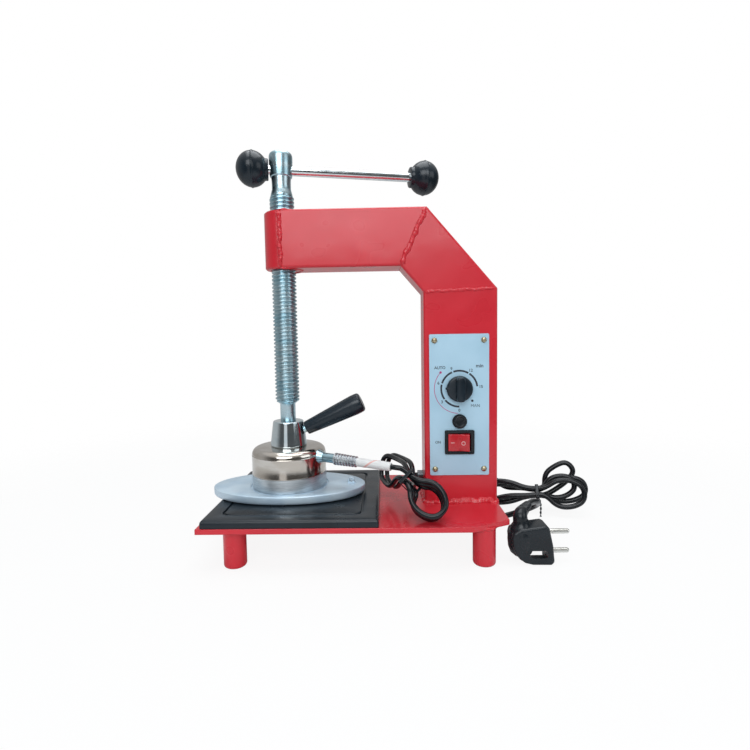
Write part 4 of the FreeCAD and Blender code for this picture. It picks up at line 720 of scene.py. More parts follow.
# %% Mains tie with its twisted ends
band = tie_band(mains_waist, mains_ways, 4, MAINS_SPACING, MAINS_DIAMETER, 0.8)
foot = (mains_waist + mains_stack * (1.5 * MAINS_SPACING + MAINS_DIAMETER / 2 + 1.3)
        - mains_up * MAINS_SPACING / 2)
down = np.linspace(0, 1, 61)
ends_line = foot + np.stack([1.2 * down + 0.7 * np.sin(down * 5), -11.5 * smooth(down * 1.4),
                             -(foot[2] - 2.0) * down ** 1.5], axis=1)
side, other = line_frames(ends_line)
twist = down[:, None] * 3.2 * TURN
section = soft_rectangle(2.4, 0.9, 0.4, 4)
turned_side = side * np.cos(twist) + other * np.sin(twist)
turned_other = other * np.cos(twist) - side * np.sin(twist)
ends = (ends_line[:, None] + turned_side[:, None] * section[:, 0, None]
        + turned_other[:, None] * section[:, 1, None])
mains_tie = skin("mains_tie", [band, capped(ends)], coat["black_plastic"])

# %% Flat mouldings and cuts


def soft_polygon(corners, radius, inset=0.0, steps=5):
    """Outline of a polygon with round corners: a circle that touches both sides stands in each
    corner, and its arc goes from one side's outward way to the next one's."""
    corners = np.asarray(corners, float)
    along = unit(np.roll(corners, -1, axis=0) - corners)
    before = np.roll(along, 1, axis=0)
    out_before = np.stack([before[:, 1], -before[:, 0]], axis=1)
    out_after = np.stack([along[:, 1], -along[:, 0]], axis=1)
    reach = radius / (1 + (out_before * out_after).sum(axis=1))
    middle = corners - (out_before + out_after) * reach[:, None]
    share = np.linspace(0, 1, steps)[None, :, None]
    arcs = unit(out_before[:, None] * (1 - share) + out_after[:, None] * share)
    outline = (middle[:, None] + arcs * (radius - inset)).reshape(-1, 2)
    return np.concatenate([outline, outline[:1]])


def cheeked(corners, radius, half, edge, steps=6):
    """A flat moulding: the outline from -half to half, drawn in as a quarter circle at both
    ends, so inset = edge (1 - cos) where depth = half - edge (1 - sin)."""
    turn = np.linspace(0, math.pi / 2, steps)
    inset, depth = edge * (1 - np.cos(turn)), half - edge * (1 - np.sin(turn))
    pulls = np.concatenate([inset[::-1], inset])
    places = np.concatenate([-depth[::-1], depth])
    return capped(layers([(soft_polygon(corners, radius, pull), y)
                          for pull, y in zip(pulls, places)]))


def cut(piece, cutter):
    """Cuts one closed piece out of another and removes the cutter."""
    work = piece.modifiers.new("cut", "BOOLEAN")
    work.operation = "DIFFERENCE"
    work.solver = "EXACT"
    work.object = cutter
    bpy.context.view_layer.update()
    graph = bpy.context.evaluated_depsgraph_get()
    mesh = bpy.data.meshes.new_from_object(piece.evaluated_get(graph))
    piece.modifiers.clear()
    piece.data = mesh
    bpy.data.objects.remove(cutter)
    mesh.set_sharp_from_angle(angle=math.radians(35))


def block(name, outline, ends):
    """A closed block: one outline at both y ends."""
    return skin(name, capped(layers([(outline, y) for y in ends])), coat["black_plastic"])


print("a rounded triangle has", len(soft_polygon([(0, 0), (9, 0), (0, 9)], 1)), "points")

# %% Plug and its neck
PLUG_CORNERS = [(155.7, 26), (156.3, 18.5), (158.8, 11.5), (163.0, 5.8), (168.6, 2.0),
                (176.0, 0.2), (193.5, 0), (196.3, 3), (194.8, 19), (191.0, 36.6), (187.5, 38.4),
                (163, 35.2), (156.8, 31.2)]
PLUG_HALF = 11.6
FINGER_HOLE = soft_rectangle(17.5, 7.2, 3.0, 8) + (181.0, 11.0)
HOLLOW = soft_rectangle(26.5, 20.5, 4.0, 8) + (178.0, 6.5)
HOLLOW_ENDS = (PLUG_Y - 4, PLUG_Y + 16)
plug = skin("plug", cheeked(PLUG_CORNERS, 2.8, PLUG_HALF, 2.5) + (0, PLUG_Y, 0),
            coat["black_plastic"])
cut(plug, block("plug_hole", FINGER_HOLE, (PLUG_Y - 16, PLUG_Y + 16)))
cut(plug, block("plug_hollow", HOLLOW, HOLLOW_ENDS))
cheek_profile = [(0, 5.5), (6.5, 6.2), (10.2, 9.5), (12.3, 15), (12.9, 22), (12.6, 28),
                 (11.4, 32.5), (9.4, 35.6), (7.6, 38.2), (7.2, 41), (0, 41)]
cheek_piece = skin("plug_cheek", turned(cheek_profile, (166.8, PLUG_Y, 0), 48),
                   coat["black_plastic"], 60)
cut(cheek_piece, block("cheek_hollow", HOLLOW, HOLLOW_ENDS))
neck_line = read_line("neck_line", [(166.4, PLUG_Y, 30), (166.2, PLUG_Y + 0.2, 40),
                                    elbow - (0, 0, 1), elbow + relief_way * 8, cord_end])
neck_length = travelled(neck_line)[-1]
fine = np.linspace(0, 1, 241)
neck_radius = np.interp(fine, [0, 0.3, 0.42, 1.0], [7.3, 6.9, 6.3, 4.3])
RIBS_FROM, RIBS_TO, RIB_TURNS, RIB_DEPTH = 0.48, 0.96, 9.5, 0.9
ribs = np.clip(np.sin((fine - RIBS_FROM) * TURN * RIB_TURNS) * 3, -1, 1) * 0.5 + 0.5
neck_radius = neck_radius - RIB_DEPTH * ribs * ((fine > RIBS_FROM) & (fine < RIBS_TO))
plug_neck = skin("plug_neck", capped(tube(read_at(neck_line, fine * neck_length), neck_radius,
                                          32)), coat["black_plastic"])
print("plug neck", round(neck_length, 1), "mm long")

# %% Gland behind the column
rib = np.arange(7)[:, None]
rib_radius = 6.2 - rib * 0.26
rib_profile = np.stack([
    np.concatenate([rib_radius, rib_radius, rib_radius - 0.9, rib_radius - 0.9], axis=1),
    4.6 + rib * 2.9 + np.array([0, 1.7, 2.0, 2.6])], axis=-1).reshape(-1, 2)
gland_profile = np.concatenate([
    [(3.3, -6), (5.4, -6), (5.4, 0), (7.6, 0), (8.5, 0.9), (8.5, 3.1), (7.6, 4.0), (6.3, 4.2)],
    rib_profile, [(4.5, 25.4), (4.3, 26), (3.3, 26), (3.3, -6)]])
mains_relief = skin("mains_relief", turned(gland_profile, GLAND, 48, ABOUT_Y),
                    coat["black_plastic"])
for piece, slot_name in ((mains_cord, "cord_black"), (mains_tie, "black_plastic"),
                         (plug, "black_plastic"), (plug_neck, "black_plastic"),
                         (cheek_piece, "black_plastic"),
                         (mains_relief, "black_plastic")):
    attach(piece, "frame")
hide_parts("mains_cord_lead", "mains_cord_hank", "mains_cord_tail")
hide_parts("mains_cord_tie")
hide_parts("plug_body")
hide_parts("mains_gland")

# %% [markdown]
# ## Red enamel
# The frame is sprayed over welded tube without any filler. Gloss paint shows this best: slow
# waves from the rolled tube, a fine orange peel, and a clear coat that draws the lamps long.
# The colour comes from the pigment, the haze over the arm from the lamp that it mirrors.

# %% Enamel
enamel, tree, shader = new_finish("red_enamel", {
    "Coat Weight": 0.25, "Coat Roughness": 0.12, "Specular IOR Level": 0.38})
cloud = ranged(tree, noise(tree, 50), 0.3, 0.7, 0.0, 1.0)
waves = bumped(tree, noise(tree, 26, detail=1.0), 0.7, 0.40, soft_edges(tree, 1.2))
peel = bumped(tree, noise(tree, 2.2, detail=1.0), 0.02, 0.5, waves)
feed(tree, shader, {
    "Base Color": two_colours(tree, cloud, (0.600, 0.018, 0.032), (0.560, 0.015, 0.027)),
    "Roughness": ranged(tree, noise(tree, 30, detail=1.0), 0.2, 0.8, 0.26, 0.34),
    "Normal": peel, "Coat Normal": peel})
print(enamel.name, len(tree.nodes), "nodes")

# %% [markdown]
# ## Turned and pressed metal
# A lathe and a polishing wheel leave fine rings round an axis. A wave of rings, centred on the
# screw by a Mapping node, gives them to the cover. The cone under the screw is chromed and
# mirrors the room in long stripes. A wave texture of scale 1 repeats each twentieth of a full
# turn's measure, so its scale is that over the spacing.

# %% Ringed metal


def ringed(name, first, second, rough, spacing, depth):
    """Metal with polishing rings about the screw's axis, spacing apart."""
    material, tree, shader = new_finish(name, METAL)
    cloud = ranged(tree, noise(tree, 25, (1, 1, 3)), 0.35, 0.65, 0.0, 1.0)
    mottle = noise(tree, 4, (1, 1, 8))
    centred = added(tree, "Mapping", {"Vector": added(tree, "TexCoord").outputs["Object"],
                                      "Location": (-SCREW_X * MM, 0, 0)})
    rings = added(tree, "TexWave", {"Vector": centred.outputs["Vector"], "Distortion": 1.5,
                                    "Scale": TURN / 20 / (spacing * MM)},
                  wave_type="RINGS", rings_direction="SPHERICAL")
    feed(tree, shader, {"Base Color": two_colours(tree, cloud, first, second),
                        "Roughness": ranged(tree, mottle, 0.3, 0.7, *rough),
                        "Normal": bumped(tree, rings.outputs["Fac"], depth, 0.6)})
    return material


coat["red_enamel"] = enamel
coat["polished_cover"] = ringed("polished_cover", (0.50, 0.46, 0.41), (0.60, 0.57, 0.53),
                                (0.10, 0.17), 0.9, 0.004)
coat["chrome"] = ringed("chrome", (0.58, 0.68, 0.73), (0.66, 0.74, 0.78), (0.06, 0.12), 0.7,
                        0.003)
print(len(coat), "finishes")

# %% Paint the solids that keep their own shape
PAINT = {
    "red_enamel": "base_plate legs column_tube brace_tube arm_tube threaded_sleeve",
    "pad_rubber": "rubber_pad", "cast_aluminium": "aluminium_mould",
    "machined_aluminium": "heater_plate",
    "zinc_steel": "press_screw spacer_tube head_bolt thrust_washer handle_stud outlet_stub",
    "dark_zinc": "cable_entry", "chrome": "pressure_cone", "bright_bar": "tommy_bar",
    "rib_silver": "strain_relief white_sleeve", "black_knob": "bar_knobs handle_grip timer_knob",
    "nickel": "heating_element timer_nut timer_shaft fuse_ends terminal_screws plug_pins",
    "cream_plastic": "thermostat terminal_block", "mica_board": "insulation_disc",
    "polished_cover": "head_cover", "panel_sheet": "control_panel", "red_rocker": "rocker",
    "yellow_zinc": "panel_screws earth_screw earth_nut", "fuse_glass_clear": "fuse_glass",
    "black_plastic": "timer_body fuse_holder fuse_nut fuse_cap switch_body mains_gland "
                     "heater_cable_tie mains_cord_tie plug_body",
    "cord_black": "outlet_cable heater_cable_lead heater_cable_hank heater_cable_tail "
                  "mains_cord_lead mains_cord_hank mains_cord_tail"}
painted = [(name, coat[key]) for key, names in PAINT.items() for name in names.split()]
for name, material in painted:
    for place in node[name].material_slots:
        place.material = material
print(len(painted), "of", len(node), "solids painted")

# %% [markdown]
# ## Weld beads
# The tubes are joined by hand, and the beads were painted over. A bead is an ellipse carried
# along the joint. Each drop of metal swells it a little, and the welder's hand makes it wander,
# so width, height and middle are slow sums of sines of the distance travelled. A bead that
# runs round a tube goes on a little past its start, and its thin end lies over it.

# %% Bead along a line


def waver(distance, size, phase):
    """A slow wave between about -1 and 1 with no visible period: three sines of odd ratios."""
    turn = TURN * distance / size
    return (np.sin(turn + phase) + np.sin(turn * 0.61 + 2.1 * phase)
            + 0.6 * np.sin(turn * 1.73 + 0.7 * phase)) / 2.2


def bead(places, outs, width, height, phase):
    """Table of a bead: across (width cos) and out (height sin) of an ellipse at each place,
    both swelled by the drops, led aside by the welder's hand and thin at the ends."""
    run = travelled(places)
    outs = unit(np.broadcast_to(np.asarray(outs, float), places.shape))
    across = np.cross(unit(np.gradient(places, axis=0)), outs)
    ends = np.clip(np.minimum(run, run[-1] - run) / 3.0, 0, 1) ** 0.5
    drops = ends * (1 + 0.16 * np.abs(np.sin(math.pi * run / 2.3 + waver(run, 9.0, phase))))
    wide = width / 2 * drops * (1 + 0.22 * waver(run, 11.0, phase))
    high = height * drops * (1 + 0.28 * waver(run, 7.0, phase + 1))
    aside = width * 0.16 * waver(run, 17.0, phase + 2)
    turn = np.linspace(0, TURN, 17)
    sideways = wide[:, None] * np.cos(turn) + aside[:, None]
    outwards = high[:, None] * np.sin(turn)
    return (places[:, None] + across[:, None] * sideways[..., None]
            + outs[:, None] * outwards[..., None])


def even(places, step=0.4):
    """The same line with places step millimetres apart."""
    length = travelled(places)[-1]
    return read_at(places, np.linspace(0, length, int(length / step) + 1))


def seam(first, last, out, width, height, phase):
    """A straight bead."""
    return bead(even(np.array([first, last], float)), out, width, height, phase)


def arc_line(x, y, z, radius, turn):
    """A level arc about a middle."""
    return np.stack([x + radius * np.cos(turn), y + radius * np.sin(turn),
                     np.full(len(turn), z)], axis=1)


print("bead helpers ready")

# %% Where the tubes meet
high_outer, high_inner = np.array([81.82, 0, 354.0]), np.array([54.29, 0, 294.0])
low_outer, low_inner = np.array([154.5, 0, 269.5]), np.array([77.5, 0, 267.01])
beads = []
for outer, inner, width, height, phase in ((high_outer, high_inner, 4.8, 1.6, 0.4),
                                           (low_outer, low_inner, 3.2, 1.3, 2.2)):
    ways = unit(outer - inner)
    for way in (-1, 1):
        face = (0, 19.7 * way, 0)
        beads.append(seam(outer - ways * 2.6 + face, inner + ways * 1.4 + face, (0, way, 0),
                          width, height, phase + way))
        end = outer - ways * 0.9 if way > 0 else inner + ways * 0.9
        beads.append(seam(end - (0, 17.5, 0), end + (0, 17.5, 0), ways * way, width, 0.9,
                          phase + 3 + way))
for way, phase in ((-1, 0.9), (1, 3.1)):
    beads.append(seam((-70.4, 19.4 * way, 295.5), (-70.4, 19.4 * way, 352.5), (0, way, 0), 4.6,
                      2.3, phase))
half_turn = np.linspace(-math.pi / 2, math.pi / 2, 90)
for level, way, phase in ((353.8, 1, 1.7), (294.2, -1, 4.0)):
    arc = arc_line(SCREW_X, 0, level, 19.3, half_turn)
    beads.append(bead(even(arc), (0, 0, way), 3.0, 1.1, phase))
foot_flat = soft_rectangle(77.2, 40.2, 2.6, 8) + (116.0, 0)
foot = even(np.c_[foot_flat, np.full(len(foot_flat), 43.2)], 0.5)
heading = unit(np.gradient(foot, axis=0))
heading[0] = heading[-1] = unit(foot[1] - foot[-2])
foot_outs = np.cross(heading, (0, 0, 1)) + (0, 0, 0.9)
lapped = np.r_[0:len(foot), 1:12]
beads.append(bead(foot[lapped], foot_outs[lapped], 4.6, 2.0, 5.0))
beads.append(seam((104, -20.2, 44.3), (151, -20.2, 45.0), (0, -1, 0.35), 8.0, 1.7, 1.3))
lapped_turn = np.linspace(0, TURN + 0.5, 196)
for leg_x in (-112.5, 130.0):
    for leg_y in (-70.0, 70.0):
        beads.append(bead(arc_line(leg_x, leg_y, 37.9, 11, lapped_turn),
                          arc_line(0, 0, -0.8, 1, lapped_turn), 3.0, 1.3, leg_x + leg_y))
welds = skin("weld_beads", beads, enamel, 80)
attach(welds, "frame")
print(len(beads), "beads")

# %% [markdown]
# ## Press screw
# A thread is one surface over height and turn. Along the screw's height the profile is a
# rounded trapezium that repeats with every pitch, and a turn of the angle shifts it by one
# pitch, so the ridge climbs. The head is a piece of its own, because the hole for the bar is
# cut through it.

# %% Screw
PITCH = 4.0
THREAD_ROOT = 11.35
THREAD_DEPTH = 1.6
BAR_HOLE_RADIUS = 5.05


def threaded(low, high, columns=72):
    """The ridge: radius = root + depth x profile(height / pitch - turn / full turn)."""
    turn = np.linspace(0, TURN, columns + 1)
    height = np.linspace(low, high, int((high - low) / PITCH * 13) + 1)
    phase = (height[:, None] / PITCH - turn / TURN) % 1.0
    ridge = smooth(phase / 0.26) * smooth((0.86 - phase) / 0.26)
    cut_back = np.minimum(smooth((height - low + 0.5) / 2.6), smooth((high + 0.5 - height) / 2.6))
    return turned(np.c_[np.full(len(height), THREAD_ROOT), height], SCREW, columns,
                  extra=THREAD_DEPTH * ridge * cut_back[:, None])


neck = [(0, 111.5), (7.4, 111.5), (8.2, 112.3), (8.2, 112.8), (6.75, 113.2), (6.75, 118.8),
        (8.2, 119.2), (8.25, 120), (8.25, 149.6), (8.6, 150.2), (11.0, 152.0)]
waist_height = np.linspace(372, 392.6, 24)
waist_share = (waist_height - 372) / 20.6
waist_radius = 11.6 - 1.6 * smooth(waist_share / 0.4) + 0.3 * smooth((waist_share - 0.6) / 0.4)
waist = np.concatenate([np.stack([waist_radius, waist_height], axis=1), [(0, 392.6)]])
screw = skin("press_screw_thread", np.concatenate([
    turned(neck, SCREW, 72), threaded(152.0, 372.0), turned(waist, SCREW, 72)]),
             coat["zinc_steel"], 50)

# %% Head of the screw
head_profile = [(0, 391.2), (9.9, 391.2), (10.1, 391.6), (11.2, 391.9), (11.6, 392.3),
                (11.7, 392.9), (12.3, 405.0), (12.4, 412.6), (12.2, 414.3), (11.6, 415.7),
                (10.5, 416.7), (9.0, 417.3), (7.0, 417.5), (0, 417.5)]
screw_head = skin("press_screw_head", turned(head_profile, SCREW), coat["zinc_steel"])
BAR_TURN = math.radians(12.7)
bar_way = np.array([math.cos(BAR_TURN), math.sin(BAR_TURN), 0])
bar_middle = np.array([SCREW_X, 0, 399.4])
hole_line = bar_middle + bar_way * np.array([[-16.0], [0], [16.0]])
cut(screw_head, skin("bar_hole", capped(tube(hole_line, BAR_HOLE_RADIUS, 48)),
                     coat["zinc_steel"]))

# %% Ball knobs


def knob_outline():
    """(radius, place along the bar): a hub, then 18.3 cos and 16.75 sin of a growing angle,
    with a soft ridge of 0.65 exp(-(place / 1.1) squared) where the mould's halves met."""
    angle = np.linspace(-0.88, math.pi / 2, 90)
    place = 16.75 * np.sin(angle)
    radius = 18.3 * np.cos(angle) + 0.65 * np.exp(-(place / 1.1) ** 2)
    hub = [(0, -16.7), (10.0, -16.7), (10.8, -16.4), (11.1, -15.8), (11.1, -13.9), (11.3, -13.4)]
    return np.concatenate([hub, np.stack([radius, place], axis=1)])


bar_side = (-bar_way[1], bar_way[0], 0)
knobs = skin("bar_end_knobs", [
    turned(knob_outline(), bar_middle + bar_way * reach, 72, [bar_side, (0, 0, 1), bar_way * way])
    for reach, way in ((-29.8, -1), (158.5, 1))], coat["black_knob"], 50)
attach(knobs, "tommy_bar")
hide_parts("bar_knobs")
for piece in (screw, screw_head):
    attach(piece, "press_screw")
    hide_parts("press_screw")

# %% [markdown]
# ## Heating head
# The cover is a drawn cup of thin polished metal: a straight wall, a bright rolled shoulder
# and a top that rises a little to the cone. A turned profile gives all of it, and the wall's
# rolled foot shows where it grips the cast heater.

# %% Cover
shoulder_turn = np.linspace(0, math.pi / 2, 14)
shoulder = np.stack([32.9 + 7.1 * np.cos(shoulder_turn), 95.9 + 7.1 * np.sin(shoulder_turn)],
                    axis=1)
cover_profile = np.concatenate([
    [(38.6, 74.6), (39.9, 74.5), (40.35, 74.8), (40.4, 75.4), (40.2, 76.0), (40.2, 94.6),
     (40.3, 95.0), (40.05, 95.35)], shoulder,
    [(30.5, 103.15), (24, 103.35), (20.6, 103.5), (10.2, 103.5), (10.2, 102.6), (30.5, 102.3),
     (38.4, 97), (38.6, 95), (38.6, 74.6)]])
cover = skin("cover", turned(cover_profile, SCREW, 144), coat["polished_cover"], 40)
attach(cover, "heating_head")
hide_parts("head_cover")

# %% [markdown]
# ## Ribbed ferrule and white sleeve
# A ferrule with eight ribs grips the cable where it leaves the cover. Woven glass sleeving
# protects the cable beyond it. Strands cross over one another, and one coloured tracer winds
# round. The sleeve carries a chart of its own: around it and along it. The weave is two crossed
# waves of that chart, and the tracer a narrow band of it.

# %% Ferrule
ferrule = [(0, 58.6), (4.6, 58.6)]
for rib in range(8):
    outer, foot = 6.4 - rib * 0.1, 59.1 + rib * 3.37
    ferrule += [(4.7, foot), (outer - 0.6, foot + 0.1), (outer, foot + 0.6), (outer, foot + 1.9),
                (outer - 0.6, foot + 2.4), (4.7, foot + 2.5)]
ferrule += [(4.6, 86.2), (0, 86.2)]
ferrule_side = unit(np.cross(outlet_way, (0, 0, 1)))
ferrule_axes = [ferrule_side, np.cross(ferrule_side, outlet_way), outlet_step]
ribs_piece = skin("ribbed_ferrule", turned(ferrule, on_outlet(0), 48, ferrule_axes),
                  coat["rib_silver"], 40)
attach(ribs_piece, "heating_head")
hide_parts("strain_relief")

# %% Sleeve
STRANDS = 12
sleeve_run = np.linspace(0, 1, 73)[:, None]
sleeve_line = on_outlet(SLEEVE_FROM + (SLEEVE_TO - SLEEVE_FROM) * sleeve_run)
sleeve_radius = (4.5 - 0.5 * smooth((sleeve_run - 0.95) / 0.05)
                 + 0.12 * np.sin(sleeve_run * 11) * smooth(sleeve_run * 4))
strand_turn = np.linspace(0, TURN, 49) * STRANDS
weave = 0.06 * np.sin(strand_turn + sleeve_run * 120) * np.sin(strand_turn - sleeve_run * 120)
sleeve_table = capped(tube(sleeve_line, sleeve_radius + weave, 48))
chart = np.stack(np.broadcast_arrays(np.linspace(0, 1, 49), np.pad(
    sleeve_run, ((1, 1), (0, 0)), "edge")), axis=-1)
sleeving, tree, shader = new_finish("white_sleeving", {"Sheen Weight": 0.2})
chart_places = added(tree, "UVMap", uv_map="chart").outputs["UV"]
shares = added(tree, "SeparateXYZ", {0: chart_places}).outputs


def slanting(work, slope):
    """Around plus or minus slope times along."""
    return maths(tree, work, shares["X"], maths(tree, "MULTIPLY", shares["Y"], slope))


crossing = maths(tree, "MULTIPLY", *[
    maths(tree, "SINE", maths(tree, "MULTIPLY", slanting(work, 1.6), STRANDS * TURN))
    for work in ("ADD", "SUBTRACT")])
wound = maths(tree, "FRACT", slanting("ADD", 1.15))
tracer = ranged(tree, maths(tree, "ABSOLUTE", maths(tree, "SUBTRACT", wound, 0.72)),
                0.03, 0.055, 1.0, 0.0)
cloth = two_colours(tree, ranged(tree, crossing, -1.0, 1.0, 0.0, 1.0), (0.66, 0.66, 0.66),
                    (0.82, 0.82, 0.80))
feed(tree, shader, {
    "Base Color": two_colours(tree, maths(tree, "MULTIPLY", tracer, 0.75), cloth,
                              (0.75, 0.32, 0.27)),
    "Roughness": ranged(tree, crossing, -1.0, 1.0, 0.75, 0.6),
    "Normal": bumped(tree, crossing, 0.12, 0.6)})
sleeve = skin("sleeve", sleeve_table, sleeving, 60, chart)
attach(sleeve, "heating_head")
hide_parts("white_sleeve")

# %% [markdown]
# ## Mould plate
# The loose plate that shapes the patch is an oval of sand-cast aluminium. Its rings change
# from the oval rim to the round step that the heater sits in, so one table of ellipses makes
# it. The lug is a table too: it runs over the front, round the back and through its hole.

# %% Mould
mould_rings = [
    (0, 0, 51.0), (78, 43.5, 51), (80.6, 46.1, 51.15), (82.4, 47.9, 51.9), (83.25, 48.75, 53.0),
    (83.5, 49, 54.4), (83.5, 49, 59.2), (83.35, 48.85, 59.7), (82.9, 48.4, 60.0),
    (65, 45.5, 60.0), (43.2, 43.2, 60.0), (42.6, 42.6, 59.9), (42.4, 42.4, 58.8),
    (40.9, 40.9, 58.8), (40.7, 40.7, 59.95), (20, 20, 60.0), (0, 0, 60.0)]
LUG_PLACE = (-2.5, 60)
keys = np.radians([-90, -60, -36, -25, -12, 0, 30, 60, 90])
key_x = [0, 3.2, 5.25, 4.15, 3.6, 3.45, 2.99, 1.73, 0]
key_z = [-0.4, -0.4, -0.4, 0.9, 2.2, 3.5, 5.2, 6.45, 6.9]
lug_turn = np.linspace(-math.pi, math.pi, 65)
mirrored_half = np.abs(lug_turn) > math.pi / 2
folded = np.where(mirrored_half, np.sign(lug_turn) * math.pi - lug_turn, lug_turn)
lug_outline = np.stack([np.where(mirrored_half, -1, 1) * np.interp(folded, keys, key_x),
                        np.interp(folded, keys, key_z)], axis=1)
hole_outline = np.stack([1.9 * np.cos(lug_turn), 3.5 + 1.9 * np.sin(lug_turn)], axis=1)
lug_rows = [(0, -1.6), (0.14, -2.0), (0.78, -2.0), (0.93, -1.85), (1, -1.5), (1, 1.5),
            (0.93, 1.85), (0.78, 2.0), (0.14, 2.0), (0, 1.6), (0, -1.6)]
lug_table = layers([(hole_outline + (lug_outline - hole_outline) * share + LUG_PLACE, depth)
                    for share, depth in lug_rows])
mould = skin("mould_plate", [turned(mould_rings, SCREW, 192), lug_table],
             coat["cast_aluminium"], 40)
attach(mould, "mould")
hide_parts("aluminium_mould")

# %% [markdown]
# ## Rubber pad
# The black bed is moulded rubber: soft edges all round and a narrow channel that frames the
# middle. It is a stack of rounded rectangles, each drawn in a little further than the last.

# %% Pad
PAD_WIDE, PAD_DEEP, CHANNEL_INSET = 169, 175, 15.5
pad_rings = [(0.7, 43.0), (0.15, 43.2), (0, 43.8), (0, 47.8), (0.3, 49.1), (1.0, 50.1),
             (2.0, 50.75), (3.3, 51.0), (14.9, 51.0), (15.35, 50.85), (15.5, 50.3),
             (15.7, 49.2), (16.6, 49.0), (17.5, 49.2), (17.7, 50.3), (17.85, 50.65),
             (18.3, 50.8), (60, 50.8)]
pad_table = layers([
    (soft_rectangle(PAD_WIDE - 2 * inset, PAD_DEEP - 2 * inset,
                    1.5 + min(inset / CHANNEL_INSET, 1) * 5.5, 9) + (-56, 0), level)
    for inset, level in pad_rings])[..., [0, 2, 1]]
pad = skin("pad", capped(pad_table), coat["pad_rubber"], 50)
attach(pad, "frame")
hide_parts("rubber_pad")

# %% [markdown]
# ## Print on the panel
# The dial is silk-screened: a broken black ring with numbers of minutes, a thin red arc that
# ends in a dot, and a black dot for the setting by hand. Ink has almost no height, so each
# mark is a sliver 0.03 mm thick. Letters start as Blender text, grown a little to look bold
# (but not an M, whose inner corner would then close wrongly), and become a mesh before they
# are put in place.

# %% Marks of ink
PANEL_X = 114.15
DIAL_Z = 165.5
PANEL_FRONT = -21.2
INK = 0.03
SUNK = 0.01
CAP_HEIGHT = 0.69
BOLDER = 0.028


def on_dial(radius, degrees):
    """Place on the dial, the angle clockwise from straight down: x - R sin, z - R cos."""
    angle = np.radians(degrees)
    return PANEL_X - radius * np.sin(angle), DIAL_Z - radius * np.cos(angle)


def ink_arc(radius, width, first, last):
    """A sliver's section carried along an arc of the dial."""
    degrees = np.linspace(first, last, max(8, int(abs(last - first))))
    across, out = np.array([(-0.5, 0), (0.5, 0), (0.5, 1), (-0.5, 1), (-0.5, 0)]).T
    x, z = on_dial(radius + width * across, degrees[:, None])
    y = PANEL_FRONT + SUNK - out * (INK + SUNK)
    return capped(np.stack(np.broadcast_arrays(x, y, z), axis=-1))


def ink_dot(x, z, radius):
    """A round sliver."""
    profile = [(0, SUNK), (radius, SUNK), (radius, -INK), (0, -INK)]
    return turned(profile, (x, PANEL_FRONT, z), 32, ABOUT_Y)


def words(name, entries, material):
    """One mesh of all the lettering; entries are (text, x, z, height)."""
    work = bmesh.new()
    for text, x, z, height in entries:
        letters = bpy.data.curves.new("letters", "FONT")
        letters.body = text
        letters.size = height / CAP_HEIGHT
        letters.offset = 0.0 if "M" in text else BOLDER * height
        letters.extrude = INK / 2
        letters.align_x = "CENTER"
        holder = bpy.data.objects.new("letters", letters)
        scene.collection.objects.link(holder)
        bpy.context.view_layer.update()
        mesh = bpy.data.meshes.new_from_object(holder)
        bpy.data.objects.remove(holder)
        flat = np.empty(3 * len(mesh.vertices))
        mesh.vertices.foreach_get("co", flat)
        right, up, out = flat.reshape(-1, 3).T
        standing = np.stack([right + x, PANEL_FRONT - out - INK / 2 + SUNK,
                             up + z - height / 2], axis=1) * MM
        mesh.vertices.foreach_set("co", standing.ravel())
        work.from_mesh(mesh)
    bmesh.ops.remove_doubles(work, verts=work.verts, dist=1e-7)
    return as_piece(name, bpy.data.meshes.new(name), work, material)


print("ink", INK, "mm thick")

# %% The dial and its words
MARKS = [0, 53, 106, 159, 212, 265]
ring_parts = [ink_arc(18.9, 1.95, low + (2.0 if low else 0), high - 2.0)
              for low, high in zip(MARKS, MARKS[1:])]
panel_marks = skin("panel_marks", ring_parts + [ink_dot(PANEL_X + 13.6, DIAL_Z - 12.9, 1.3)],
                   coat["panel_ink"])
red_marks = skin("panel_red_marks", [ink_arc(26.1, 0.6, 3, 131),
                                     ink_dot(PANEL_X - 19.5, DIAL_Z + 17.3, 1.3)],
                 coat["red_ink"])
entries = [(str(minutes), *on_dial(22.7, degrees), 2.9)
           for minutes, degrees in zip(range(0, 16, 3), MARKS)]
entries += [(text, PANEL_X + x, DIAL_Z + z, height) for text, x, z, height in (
    ("min", 21.3, 24.0, 3.7), ("AUTO", -20.2, 22.3, 2.9), ("MAN", 16.8, -18.0, 3.0),
    ("ON", -22.6, -56.6, 2.6))]
panel_words = words("panel_words", entries, coat["panel_ink"])
for piece, slot_name in ((panel_marks, "black_plastic"), (red_marks, "red_rocker"),
                         (panel_words, "black_plastic")):
    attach(piece, "frame")

# %% [markdown]
# ## Timer knob, fuse cap and switch
# The knob is a black moulding: a round skirt with a small nose that points at the scale, and
# a grip bar across it. The fuse cap is turned, with fine flutes round its edge and a slot for a
# screwdriver. The switch's rocker is a shallow V of two halves, which overlap at the middle,
# with a mark on each. Its outline is rounded and drawn in at both ends like the plug's, then
# tilted to one side.

